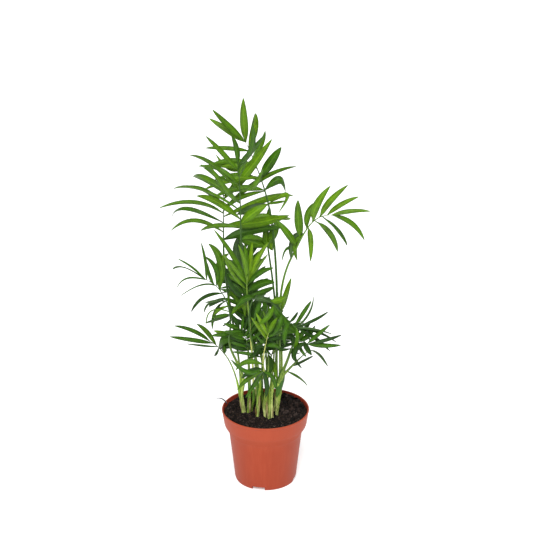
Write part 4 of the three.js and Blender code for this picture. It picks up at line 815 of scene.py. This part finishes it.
def finer(v, f):
    v, out, seen = [tuple(p) for p in v], [], {}

    def mid(a, b):
        k = (min(a, b), max(a, b))
        if k not in seen:
            seen[k] = len(v)
            v.append(tuple(unit(np.array(v[a]) + np.array(v[b]))))
        return seen[k]

    for a, b, c in f:
        ab, bc, ca = mid(a, b), mid(b, c), mid(c, a)
        out += [(a, ab, ca), (b, bc, ab), (c, ca, bc), (ab, bc, ca)]
    return np.array(v), out


ICO2_V, ICO2_F = finer(ICO_V, ICO_F)
ICO3_V, ICO3_F = finer(ICO2_V, ICO2_F)


def turn(rand):
    q = unit(rand.normal(size=4))
    w, x, y, z = q
    return np.array([[1 - 2 * (y * y + z * z), 2 * (x * y - z * w), 2 * (x * z + y * w)], [2 * (x * y + z * w), 1 - 2 * (x * x + z * z), 2 * (y * z - x * w)], [2 * (x * z - y * w), 2 * (y * z + x * w), 1 - 2 * (x * x + y * y)]])


def spot(rand, limit):
    a = rand.random() * 2 * math.pi
    return limit * math.sqrt(rand.random()), a


def build_crumbs():
    """Loose peat: small crumbs all over, clods mostly at the right rear."""
    rand = np.random.default_rng(77)
    g = Gather()
    for i in range(4300):
        r, a = spot(rand, 56.4)
        x, y = r * math.cos(a), r * math.sin(a)
        size = 0.34 + 1.35 * rand.random() ** 2.2
        s = size * np.array([1.0, 0.65 + 0.4 * rand.random(), 0.5 + 0.4 * rand.random()])
        v = ICO_V * (1 + 0.5 * (rand.random((12, 1)) - 0.5)) * s
        v = v @ turn(rand).T + (x, y, float(ground(x, y)) + size * 0.15)
        over = np.hypot(v[:, 0], v[:, 1])
        pull = np.minimum(1, 57.0 / np.maximum(over, 1e-6))
        v[:, 0] *= pull
        v[:, 1] *= pull
        g.add(v, ICO_F, int(rand.choice([0, 1, 2, 3], p=[0.40, 0.26, 0.20, 0.14])))
    for i in range(560):
        if i < 170:
            x, y = 34 + rand.normal() * 11, 20 + rand.normal() * 15
        else:
            r, a = spot(rand, 53)
            x, y = r * math.cos(a), r * math.sin(a)
        big = i < 170 and rand.random() < 0.42
        size = (2.3 + 2.3 * rand.random()) if big else (0.9 + 1.6 * rand.random())
        if math.hypot(x, y) > 55.5 - size:
            k = (55.5 - size) / math.hypot(x, y)
            x, y = x * k, y * k
        base_v, base_f = (ICO3_V, ICO3_F) if big else (ICO2_V, ICO2_F)
        s = size * np.array([1.0, 0.75 + 0.3 * rand.random(), 0.6 + 0.25 * rand.random()])
        k = rand.random(3) * 9
        bumps = 0.5 * np.sin(base_v @ (np.array([2.1, 1.3, 1.7])) * 2 + k[0]) + 0.35 * np.sin(base_v @ np.array([-3.1, 2.3, 4.7]) + k[1]) + 0.5 * (rand.random(len(base_v)) - 0.5)
        v = base_v * (1 + 0.26 * bumps[:, None]) * s
        v = v @ turn(rand).T + (x, y, float(ground(x, y)) + size * 0.28)
        over = np.hypot(v[:, 0], v[:, 1])
        pull = np.minimum(1, 57.0 / np.maximum(over, 1e-6))
        v[:, 0] *= pull
        v[:, 1] *= pull
        v[:, 2] = np.minimum(v[:, 2], POT_HEIGHT - 0.8)
        g.add(v, base_f, int(rand.choice([0, 1, 2, 3], p=[0.36, 0.34, 0.20, 0.10])))
    return g.build("peat_crumbs", SOIL_MATS, False)


def build_fibres():
    """Peat threads, bark slivers and pale flecks."""
    rand = np.random.default_rng(19)
    g = Gather()
    for i in range(120):
        r, a = spot(rand, 54)
        x, y = r * math.cos(a), r * math.sin(a)
        az = rand.random() * 360
        length = 2.5 + 8 * rand.random() ** 2
        d0, d1, d2 = heading(az, 12), heading(az + 60 * (rand.random() - 0.5), 4), heading(az + 140 * (rand.random() - 0.5), -16)
        path = sweep((x, y, float(ground(x, y)) + 0.35), d0, d1, d2, length, 7)
        path[:, 2] = np.maximum(path[:, 2], ground(path[:, 0], path[:, 1]) + 0.1)
        if np.hypot(path[:, 0], path[:, 1]).max() > 56.3:
            continue
        rad = 0.10 + 0.16 * rand.random()
        v, f, uv = tube(path, lambda s, t: rad * (1 - 0.6 * s) * (1 + 0 * t), 5, (0, 0, 1))
        g.add(v, f, int(rand.choice([0, 1, 2], p=[0.5, 0.35, 0.15])), uv)
    for i in range(110):
        r, a = spot(rand, 55)
        x, y = r * math.cos(a), r * math.sin(a)
        size = 0.35 + 0.7 * rand.random() ** 2
        v = ICO_V * (1 + 0.4 * (rand.random((12, 1)) - 0.5)) * size * np.array([1.5, 0.7, 0.35])
        v = v @ turn(rand).T + (x, y, float(ground(x, y)) + 0.5)
        g.add(v, ICO_F, int(rand.choice([1, 2, 3], p=[0.45, 0.35, 0.2])))
    # the dry point of a shed leaf that lies over the rim
    foot, tip = np.array([-53.6, 16.4, 104.8]), np.array([-68.9, 18.2, 111.8])
    v, f, under, uv, rim = leaflet(foot, unit(tip - foot), np.array([0.1, 0, 1.0]), float(np.linalg.norm(tip - foot)), 3.6, 0.0, 3.6, 0.0, 10.0, 0.05, 0.0, 3.0)
    g.add(v, f, 4, uv, rim)
    return g.build("peat_fibres", FIBRE_MATS, False)


# ---- limbs ------------------------------------------------------------------------------


def even_rows(n, reach, s0, s1, lift, droop, wide, dice):
    rows = []
    for side in (1, -1):
        for i in range(int(n)):
            k = i * 2 + (1 if side > 0 else 0)
            t = 0.05 + 0.90 * (i + 0.35 * (chance(k, dice) - 0.5) + (0.25 if side > 0 else 0)) / n
            a = side * (s0 + (s1 - s0) * t + 9 * (chance(k, dice + 1) - 0.5))
            length = reach * (1 - 0.378 * abs(t - 0.38) ** 1.4 / 0.5 ** 1.4) * (0.92 + 0.16 * chance(k, dice + 2))
            b = lift + 12 * (chance(k, dice + 3) - 0.5)
            rows.append((t, a, b, length, droop * length, -side * 0.05 * length, wide * (0.85 + 0.25 * chance(k, dice + 4))))
        rows.append((1.0, side * (13 + 4 * chance(9, dice)), lift * 0.6, reach * 0.78, droop * reach * 0.5, 0.0, wide * 1.25))
    return rows


def limb_paths(f):
    d = [heading(*c) for c in f["course"]]
    petiole = sweep(f["foot"], d[0], d[1], d[2], f["petiole"], 56)
    rib = sweep(petiole[-1], d[2], d[3], d[4], f["rib"], 40)
    return petiole, rib


def rib_frame(rib, t, face):
    T = unit(at(tangents(rib), t))
    N = unit(np.asarray(face, float) - T * np.dot(face, T))
    return at(rib, t), T, N, np.cross(T, N)


PATHS = {name: limb_paths(f) for name, f in FRONDS.items()}

# how far the petioles of one stem are drawn together at the foot, and the length over which they part
GATHER = {"front": (0.82, 42), "left": (0.58, 46), "right": (0.62, 62), "main": (0.45, 50)}
for stem_name in STEMS:
    mates = [n for n, f in FRONDS.items() if f["stem"] == stem_name]
    share, run = GATHER.get(stem_name, (0.4, 45))
    middle = np.mean([FRONDS[n]["foot"][:2] for n in mates], axis=0)
    for n in mates:
        petiole, rib = PATHS[n]
        x = np.arange(len(petiole)) / (len(petiole) - 1) * FRONDS[n]["petiole"]
        fade = 1 - smooth(x, 0, min(run, FRONDS[n]["petiole"] * 0.9))
        petiole[:, :2] += (middle - petiole[0, :2]) * share * fade[:, None]


def stem_path(name):
    (fx, fy), radius, top_r = STEMS[name]
    feet = [np.array(f["foot"], float) for f in FRONDS.values() if f["stem"] == name]
    top = np.mean(feet, axis=0)
    top[2] = min(p[2] for p in feet) - 0.6
    n = 34
    t = np.arange(n + 1) / n
    z0 = SOIL_TOP + 0.35
    path = np.c_[fx + (top[0] - fx) * t ** 1.25, fy + (top[1] - fy) * t ** 1.25, z0 + (top[2] - z0) * t]
    return path, radius, top_r


STEM_PATHS = {name: stem_path(name) for name in STEMS}


STEM_FRONDS = {stem: [n for n, f in FRONDS.items() if f["stem"] == stem] for stem in STEMS}


GIRTH = {"right_low": 1.8, "right_fore": 2.1, "right_high": 1.5, "top": 1.45, "mid_back": 1.3, "left_mid": 1.35,
         "left_low": 0.85, "left_high": 1.5, "upper_left": 1.25}
PALE = ("spear", "front_young")
DUSKY = ("top", "upper_left")


def petiole_radius(x, length, girth=1.0):
    """Thick and pale at the foot, slender at the rib."""
    q = min(1.0, length / 110)
    if length > 130:  # long ones are slender where they stand together
        girth = 1 + (girth - 1) * float(smooth(x, 70, 150)) - 0.12 * float(smooth(x, 70, 30))
    elif girth > 1:
        girth = 1 + (girth - 1) * float(smooth(x, 1, 20))
    return girth * (PETIOLE_RADIUS[1] + (0.22 + 0.20 * q) * (1 - x / length) + 0.62 * q * math.exp(-x / (18 + 30 * q)))


def stalk_line(name):
    """From inside the peat up to a frond's foot and a little along its petiole."""
    f = FRONDS[name]
    (fx, fy), radius, _ = STEMS[f["stem"]]
    mates = STEM_FRONDS[f["stem"]]
    petiole, _ = PATHS[name]
    foot = petiole[0]
    centre = np.mean([PATHS[m][0][0][:2] for m in mates], axis=0)
    off = foot[:2] - centre
    far = float(np.hypot(*off))
    base = np.array([fx, fy, SOIL_TOP - 3.0])
    if far > 0.6:
        base[:2] += off / far * radius * 0.62 * min(1, far / 3.0)
    drop = foot[2] - base[2]
    m0 = -unit(petiole[1] - petiole[0]) * drop * 0.6
    m1 = np.array([0.0, 0.0, -1.0]) * drop * 1.0 + np.r_[(base[:2] - foot[:2]) * 0.25, 0]
    low = []
    for i in range(1, 27):
        t = i / 26
        h00, h10, h01, h11 = 2 * t ** 3 - 3 * t ** 2 + 1, t ** 3 - 2 * t ** 2 + t, -2 * t ** 3 + 3 * t ** 2, t ** 3 - t ** 2
        low.append(foot * h00 + m0 * h10 + base * h01 + m1 * h11)
    return np.array(low[::-1]), petiole


def build_stems():
    """Each stem is a bundle of overlapping sheaths round a core; every sheath ends in a slanting mouth."""
    g = Gather()
    for k, stem in enumerate(STEMS):
        path, radius, top_r = STEM_PATHS[stem]
        down = path[0] + (path[0] - path[1]) / np.linalg.norm(path[1] - path[0]) * np.array([[2.4], [1.2]])
        full = np.vstack([down, path])
        v, f, uv = tube(full, lambda s, ang: radius * (0.80 + 0.03 * np.cos(7 * ang + k)) * math.sqrt(max(1 - s ** 2, 0.004)), 22, (0.3, -1, 0))
        g.add(v, f, k % 2, uv)
        for j, name in enumerate(STEM_FRONDS[stem]):
            low, petiole = stalk_line(name)
            length = FRONDS[name]["petiole"]
            step = length / (len(petiole) - 1)
            reach = min(0.35 * length, 16 + 16 * chance(k * 7 + j, 3))
            up_n = max(2, int(round(reach / step)))
            line = np.vstack([low, petiole[: up_n + 1]])
            seg = np.r_[0, np.cumsum(np.linalg.norm(np.diff(line, axis=0), axis=1))]
            even = np.linspace(0, seg[-1], 46)
            line = np.stack([np.interp(even, seg, line[:, c]) for c in range(3)], axis=1)
            total = seg[-1]
            foot_at = seg[len(low)]
            alone = len(STEM_FRONDS[stem]) == 1
            r0 = radius * (0.88 if alone else 0.66 if len(STEM_FRONDS[stem]) == 2 else 0.48 if stem == "right" else 0.56)
            mouth = foot_at * (0.45 + 0.3 * chance(k * 5 + j, 8))
            turn_at, dice = 6.28 * chance(k + j * 3, 9), k * 3.1 + j * 1.7

            def radius_of(s, ang, total=total, foot_at=foot_at, r0=r0, length=length, mouth=mouth, turn_at=turn_at, dice=dice, girth=GIRTH.get(name, 1.0)):
                x = s * total
                if x < foot_at:
                    q = x / foot_at
                    r = r0 + (petiole_radius(0, length, girth) + 0.22 - r0) * smooth(q, 0.0, 1.0) + 0.25 * (1 - q) ** 5
                else:
                    r = petiole_radius(x - foot_at, length, girth) + 0.22
                r = r * (1 + 0.045 * np.cos(2 * ang + dice) + 0.030 * np.cos(9 * ang + dice) + 0.018 * np.cos(17 * ang + 2 * dice + 2 * s))
                edge = mouth + 3.2 * np.cos(ang - turn_at)
                r = r + 0.20 * smooth(edge - x, -0.25, 0.35)
                lip = total - 2.6 - 2.4 * (0.5 + 0.5 * np.cos(ang - turn_at - 1.5))
                return r - 0.34 * smooth(x - lip, -0.3, 0.6)

            v, f, uv = tube(line, radius_of, 24, (0.3, -1, 0))
            g.add(v, f, 2 if stem in ("left_rear", "centre_rear", "mid_left") or (k + 2 * j) % 5 == 3 else (k + j) % 2, uv)
    return g.build("stem_stalks", STEM_MATS)


def build_petioles():
    """Petiole and rib of each frond as one tapering limb with a groove on its upper side."""
    g = Gather()
    for name, f in FRONDS.items():
        petiole, rib = PATHS[name]
        path = np.vstack([petiole, rib[1:]])
        pl = f["petiole"]
        total = pl + f["rib"]
        face = np.asarray(f["face"], float)

        def radius_of(s, ang, pl=pl, total=total, girth=GIRTH.get(name, 1.0)):
            x = s * total
            if x < pl:
                r = petiole_radius(x, pl, girth)
            else:
                q = (x - pl) / (total - pl)
                r = (RIB_RADIUS[0] + (RIB_RADIUS[1] * 0.72 - RIB_RADIUS[0]) * q) * (1 + (girth - 1) * (1 - q * q))
            up = np.maximum(0, np.cos(ang))
            return r * (1 - 0.20 * up ** 2 + 0.03 * np.cos(3 * ang)) * (1 - 0.55 * smooth(s, 0.985, 1.0))

        k0 = len(petiole) + 2
        up = transported(path, face, k0)
        v, fa, uv = tube(path, radius_of, 12, up[0])
        g.add(v, fa, 2 if name in PALE else 1 if name in DUSKY or FROND_TONE[name] >= 2.0 else 0, uv)
    return g.build("petioles", PETIOLE_MATS)


# Loose sheaths: foot, tip, the way the face looks, width, fold, tint
HUSKS = [
    ((24.6, -13.6, 172.0), (15.2, -14.4, 130.0), (0.1, -1, 0.1), 10.4, 30, 3),
    ((-9.0, -5.6, 100), (-8.0, -6.4, 133), (0.4, -1, 0), 3.4, 40, 1),
    ((-12.6, -7.0, 97), (-13.4, -6.6, 112), (-0.5, -1, 0), 3.0, 40, 2),
    ((0.6, -9.2, 98), (1.8, -8.4, 124), (0.2, -1, 0), 2.3, 40, 1),
    ((-21.4, 3.0, 97), (-21.6, 3.4, 122), (0.3, -1, 0), 3.6, 40, 1),
    ((3.4, -11.6, 97), (2.4, -10.2, 121), (-0.4, -1, 0), 2.3, 40, 1),
    ((-32.6, 4.4, 98), (-35.0, 4.0, 124), (-0.4, -1, 0), 3.8, 38, 1),
    ((9.4, -14.4, 97), (10.2, -12.6, 116), (0.2, -1, 0), 2.0, 40, 1),
    ((2.0, 22.6, 97), (0.0, 24.6, 124), (0.2, 1, 0), 4.2, 38, 1),
    ((-10.5, 23.6, 97), (-12.0, 24.6, 121), (-0.2, 1, 0), 4.0, 38, 2),
    ((14.4, 12.6, 98), (13.0, 15.4, 126), (0.5, 1, 0), 4.2, 38, 1),
]


def build_sheaths():
    """Dry and green husks that still clasp the stems."""
    g = Gather()
    for k, (foot, tip, face, wide, fold, tint) in enumerate(HUSKS):
        foot, tip = np.array(foot, float), np.array(tip, float)
        v = unit(tip - foot)
        N = unit(np.array(face, float) - v * np.dot(face, v))
        n, cols = 22, 9
        top, low, uv_t, uv_l = [], [], [], []
        side = np.cross(v, N)
        for i in range(n):
            s = i / (n - 1)
            half = wide / 2 * float(np.interp(s, [0, 0.15, 0.4, 0.65, 0.85, 0.96, 1.0], [0.55, 0.78, 1.0, 0.92, 0.55, 0.22, 0.05]))
            c = foot + v * np.linalg.norm(tip - foot) * s + N * (1.1 * math.sin(s * math.pi) + 0.9 * s)
            for j in range(cols):
                u = -1 + 2 * j / (cols - 1)
                w = u * half
                h = -abs(u) ** 1.7 * half * math.tan(math.radians(fold)) + 0.07 * math.sin(13 * u + k + 3 * s)
                p = c + side * w + N * h
                top.append(p)
                uv_t.append((0.5 + 0.5 * u, s))
                if 0 < j < cols - 1:
                    low.append(p - N * 0.30 * (1 - 0.4 * u * u))
                    uv_l.append((0.5 + 0.5 * u, s))
        verts = np.array(top + low)
        nt = n * cols

        def ti(i, j):
            return i * cols + j

        def li(i, j):
            return ti(i, j) if j in (0, cols - 1) else nt + i * (cols - 2) + j - 1

        faces = []
        for i in range(n - 1):
            for j in range(cols - 1):
                faces.append((ti(i, j), ti(i, j + 1), ti(i + 1, j + 1), ti(i + 1, j)))
                faces.append((li(i, j), li(i + 1, j), li(i + 1, j + 1), li(i, j + 1)))
        faces.append(tuple([ti(0, j) for j in reversed(range(cols))] + [li(0, j) for j in range(1, cols - 1)]))
        faces.append(tuple([ti(n - 1, j) for j in range(cols)] + [li(n - 1, j) for j in reversed(range(1, cols - 1))]))
        g.add(verts, faces, tint, uv_t + uv_l)
    return g.build("loose_sheaths", SHEATH_MATS)


# ---- leaflets ---------------------------------------------------------------------------

SHAPE_S = [0.0, 0.03, 0.08, 0.16, 0.26, 0.36, 0.46, 0.58, 0.70, 0.80, 0.88, 0.94, 0.98, 1.0]
SHAPE_W = [0.20, 0.26, 0.45, 0.73, 0.93, 1.00, 1.00, 0.95, 0.83, 0.67, 0.49, 0.31, 0.15, 0.0]
STATIONS = np.array([0, 0.025, 0.06, 0.11, 0.17, 0.24, 0.32, 0.40, 0.48, 0.56, 0.64, 0.72, 0.79, 0.855, 0.91, 0.955, 0.985])
COLUMNS = np.array([-1, -0.72, -0.46, -0.20, 0, 0.20, 0.46, 0.72, 1])


# half the width a leaflet keeps down to its foot on the rib
LEAST_HALF = 0.8


def leaflet(P0, v, N, length, arch, bow, wide, turn, roll, curl, wave, dice):
    """One pointed leaflet: a thin closed blade with a raised main vein, folded at its base.

    Returns vertices, faces, which faces are the underside, place on the leaf, and its rim edges."""
    P2 = P0 + v * length
    e2 = unit(N - v * np.dot(N, v))
    e3 = np.cross(v, e2)
    Pm = (P0 + P2) / 2 + e2 * arch + e3 * bow
    C = 2 * Pm - (P0 + P2) / 2
    s = np.r_[STATIONS, 1.0][:, None]
    cen = P0 * (1 - s) ** 2 + C * 2 * s * (1 - s) + P2 * s ** 2
    # the point hooks over a little
    cen = cen - e2 * (curl * length * smooth(s, 0.70, 1.25) ** 1.0 * (s - 0.70).clip(0) * 2)
    cen = cen + e3 * (wave * length * np.sin(s * 5.2 + dice) * s * (1 - s))
    T = tangents(cen)
    dots = np.abs(T @ N)
    k0 = int(np.argmin(dots))
    up = transported(cen, N, k0)
    across = np.cross(T, up)
    ss = s[:, 0]
    tw = math.radians(turn) * smooth(ss, -0.06, 0.22) + math.radians(roll) * smooth(ss, 0.0, 1.0)
    up2 = up * np.cos(tw)[:, None] + across * np.sin(tw)[:, None]
    ac2 = across * np.cos(tw)[:, None] - up * np.sin(tw)[:, None]
    half = np.interp(ss, SHAPE_S, SHAPE_W) ** (1 - 0.35 * smooth(wide, 7.5, 3.5)) * wide * (1.03 + 0.22 * smooth(wide, 7.5, 4.4)) / 2
    half = np.maximum(half, LEAST_HALF * (1 - smooth(ss, 0.86, 1.0)))
    fold = np.radians(np.interp(ss, [0, 0.12, 0.4, 0.8, 1.0], [40, 27, 19, 20, 26]))
    ridge = np.interp(ss, [0, 0.1, 0.6, 1.0], [0.18, 0.30, 0.18, 0.05]) * min(1.0, wide / 7)
    thick = np.interp(ss, [0, 0.08, 0.3, 1.0], [0.62, 0.40, 0.26, 0.16])
    n = len(STATIONS)
    cols = len(COLUMNS)
    top, low, uv_top, uv_low = [], [], [], []
    for i in range(n):
        for j, u in enumerate(COLUMNS):
            w = u * half[i]
            h = (0.42 * half[i] - abs(w)) * math.tan(fold[i]) + ridge[i] * (1.0 if j == cols // 2 else 0.0)
            h += 0.10 * min(1.0, half[i] / 3) * (0.5 if abs(abs(u) - 0.46) < 0.1 else -0.15)
            h += 0.05 * half[i] * math.sin(9 * ss[i] + dice + u) * abs(u)
            p = cen[i] + ac2[i] * w * math.cos(fold[i]) + up2[i] * h
            top.append(p)
            uv_top.append((0.5 + 0.5 * u, ss[i]))
            if 0 < j < cols - 1:
                low.append(p - up2[i] * thick[i] * (1 - 0.5 * u * u))
                uv_low.append((0.5 + 0.5 * u, ss[i]))
    tip = cen[-1]
    verts = np.array(top + low + [tip])
    uv = np.array(uv_top + uv_low + [(0.5, 1.0)])
    nt = n * cols
    tip_i = len(verts) - 1

    def top_i(i, j):
        return i * cols + j

    def low_i(i, j):
        return top_i(i, j) if j in (0, cols - 1) else nt + i * (cols - 2) + j - 1

    faces, under, rim = [], [], []
    for i in range(n - 1):
        for j in range(cols - 1):
            faces.append((top_i(i, j), top_i(i, j + 1), top_i(i + 1, j + 1), top_i(i + 1, j)))
            under.append(False)
            faces.append((low_i(i, j), low_i(i + 1, j), low_i(i + 1, j + 1), low_i(i, j + 1)))
            under.append(True)
        rim += [(top_i(i, 0), top_i(i + 1, 0)), (top_i(i, cols - 1), top_i(i + 1, cols - 1))]
    for j in range(cols - 1):
        faces.append((top_i(n - 1, j), top_i(n - 1, j + 1), tip_i))
        under.append(False)
        faces.append((low_i(n - 1, j), tip_i, low_i(n - 1, j + 1)))
        under.append(True)
    rim += [(top_i(n - 1, 0), tip_i), (top_i(n - 1, cols - 1), tip_i)]
    faces.append(tuple([top_i(0, j) for j in reversed(range(cols))] + [low_i(0, j) for j in range(1, cols - 1)]))
    under.append(True)
    return verts, faces, under, uv, rim


def build_leaves(name, fronds):
    g = Gather()
    count = 0
    for frond in fronds:
        f = FRONDS[frond]
        _, rib = PATHS[frond]
        rows = list(f.get("leaflets") or even_rows(*f["even"])) + list(f.get("more", ()))
        order = list(FRONDS).index(frond)
        for i, (t, a, b, length, arch, bow, wide, *own) in enumerate(rows):
            d = order * 40 + i
            P, T, N, S = rib_frame(rib, t, f["face"])
            ar, br = math.radians(a), math.radians(b)
            v = (T * math.cos(ar) + S * math.sin(ar)) * math.cos(br) + N * math.sin(br)
            turn_by = own[0] if own else 0.0
            # a tone listed for a leaflet replaces the frond's; the darker listed tones are partly the leaflet's own
            # colour and partly painted shade of the leaflets over it
            tone = FROND_TONE[frond] + 1.3 * (chance(d, 31) - 0.5)
            tone = int(min(4, max(0, round(tone)))) if len(own) < 2 else own[1]
            roll = (10 if own else 24) * (chance(d, 32) - 0.5)
            free = 0.25 if own else 0.5 if f.get("leaflets") else 1.0
            verts, faces, under, uv, rim = leaflet(
                P, v, N, length, arch, bow, min(wide, MAX_WIDE), turn_by, roll, (0.03 + 0.12 * chance(d, 33) ** 2) * free, 0.05 * free * (chance(d, 34) - 0.5), d
            )
            g.add(verts, faces, [tone + (len(TONES) if u else 0) for u in under], uv, rim)
            count += 1
    return g.build(name, LEAF_MATS), count


# ---- making it --------------------------------------------------------------------------

POT_MATS = [pot_material("pot_terracotta_plastic", False), pot_material("pot_inner_wall_painted_shade", True)]
SOIL_MATS = [
    soil_material("peat_dark", linear(13, 9, 7), linear(32, 23, 20)),
    soil_material("peat_brown", linear(26, 18, 14), linear(56, 43, 38)),
    soil_material("peat_black", linear(6, 4, 4), linear(16, 12, 10)),
    soil_material("peat_light", linear(42, 34, 30), linear(75, 62, 58)),
]
FIBRE_MATS = [
    plain_fibre("fibre_brown", linear(70, 48, 34)),
    plain_fibre("fibre_tan", linear(104, 82, 60)),
    plain_fibre("fibre_dark", linear(36, 24, 18)),
    plain_fibre("fleck_pale", linear(150, 142, 126)),
    plain_fibre("dry_leaf_grey", linear(92, 92, 98)),
]
STEM_MATS = [
    stalk_material("stem_pale_green", linear(184, 200, 110), linear(136, 168, 50), 0.098, 0.140, linear(86, 124, 32), 0.18),
    stalk_material("stem_straw_green", linear(200, 208, 132), linear(158, 184, 74), 0.100, 0.150, linear(108, 136, 46), 0.28),
    stalk_material("stem_deep_green", linear(136, 162, 66), linear(90, 132, 36), 0.098, 0.125, linear(58, 94, 24), 0.22),
]
SHEATH_MATS = [
    stalk_material("sheath_green", linear(150, 176, 70), linear(72, 118, 22), 0.100, 0.135, linear(130, 164, 50), 0.05, 0.40),
    stalk_material("sheath_straw", linear(186, 178, 124), linear(150, 152, 84), 0.100, 0.140, linear(112, 96, 54), 0.9, 0.6),
    stalk_material("sheath_brown", linear(128, 92, 50), linear(126, 116, 62), 0.098, 0.112, linear(84, 66, 36), 0.6, 0.7),
    stalk_material("sheath_leafy", linear(88, 134, 24), linear(50, 97, 10), 0.126, 0.146, linear(32, 74, 8), 0.0, 0.40),
]
PETIOLE_MATS = [
    stalk_material("petiole_bright", linear(148, 172, 68), linear(84, 122, 26), 0.14, 0.25, linear(66, 102, 22), 0.0),
    stalk_material("petiole_green", linear(138, 164, 64), linear(50, 85, 20), 0.13, 0.23, linear(48, 80, 22), 0.0),
    stalk_material("petiole_pale", linear(196, 200, 112), linear(104, 146, 34), 0.222, 0.262, linear(140, 160, 60), 0.0),
]

pieces = []
pot = build_pot()
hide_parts("pot")
pieces.append(pot)

bed = build_soil()
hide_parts("soil")
crumbs = build_crumbs()
fibres = build_fibres()
for o in (bed, crumbs, fibres):
    pieces.append(o)

stems = build_stems()
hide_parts(*["stem_" + n for n in STEMS])
sheaths = build_sheaths()
petioles = build_petioles()
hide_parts(*["petiole_" + n for n in FRONDS])
pieces += [stems, sheaths, petioles]

names = list(FRONDS)
groups = {
    "leaflets_high": [n for n in names if n in ("top", "upper_left", "left_high", "right_high", "spear", "right_spear", "mid_back")],
    "leaflets_middle": [n for n in names if n in ("left_mid", "right_arch", "centre_young", "centre_left", "centre_dark", "mid_left", "mid_centre", "front_young")],
}
groups["leaflets_low"] = [n for n in names if not any(n in g for g in groups.values())]
for piece_name, members in groups.items():
    blades, n_leaves = build_leaves(piece_name, members)
    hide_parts(*["frond_" + n for n in members])
    pieces.append(blades)
    print(piece_name, n_leaves, "leaflets", len(blades.data.polygons), "faces")

for o in pieces:
    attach(o, "root")

# ---- floor, light, camera ---------------------------------------------------------------

floor_mesh = bpy.data.meshes.new("floor")
floor_mesh.from_pydata([(-9, -9, 0), (9, -9, 0), (9, 9, 0), (-9, 9, 0)], [], [(0, 1, 2, 3)])
floor = bpy.data.objects.new("floor", floor_mesh)
bpy.context.scene.collection.objects.link(floor)
fm = Mat("floor_white", Roughness=0.9, Specular_IOR_Level=0.1)
fm.bsdf.inputs["Base Color"].default_value = (0.93, 0.93, 0.93, 1)
fm.bsdf.inputs["Emission Color"].default_value = (1, 1, 1, 1)
fm.bsdf.inputs["Emission Strength"].default_value = 0.22
floor_mesh.materials.append(fm.m)

world = bpy.data.worlds.new("studio")
bpy.context.scene.world = world
world.use_nodes = True
world.node_tree.nodes["Background"].inputs[0].default_value = (1, 1, 1, 1)
world.node_tree.nodes["Background"].inputs[1].default_value = 0.58


def soft_light(name, place, aim, size, power):
    data = bpy.data.lights.new(name, "AREA")
    data.shape, data.size, data.energy = "DISK", size, power
    o = bpy.data.objects.new(name, data)
    o.location = place
    from mathutils import Vector

    o.rotation_euler = (Vector(aim) - Vector(place)).to_track_quat("-Z", "Y").to_euler()
    bpy.context.scene.collection.objects.link(o)


sun_data = bpy.data.lights.new("key", "SUN")
sun_data.energy, sun_data.angle = 2.5, math.radians(34)
sun = bpy.data.objects.new("key", sun_data)
sun.rotation_euler = (math.radians(38), math.radians(-5), 0)
bpy.context.scene.collection.objects.link(sun)
soft_light("front", (-0.15, -1.8, 1.4), (0, 0, 0.25), 0.8, 9)
soft_light("top", (0.2, 0.4, 2.2), (0, 0, 0.2), 1.0, 10)

cam_data = bpy.data.cameras.new("view")
cam_data.sensor_width = 36.0
cam_data.sensor_fit = "HORIZONTAL"
cam_data.lens = 106.07
cam_data.clip_start, cam_data.clip_end = 0.05, 50
cam = bpy.data.objects.new("view", cam_data)
cam.location = (0.00622, -1.94158, 1.14053)
cam.rotation_euler = (math.radians(90 - 23.09), 0, 0)
bpy.context.scene.collection.objects.link(cam)
bpy.context.scene.camera = cam
bpy.context.scene.view_settings.view_transform = "Standard"
bpy.context.scene.view_settings.look = "None"
bpy.context.scene.view_settings.exposure = 0.0
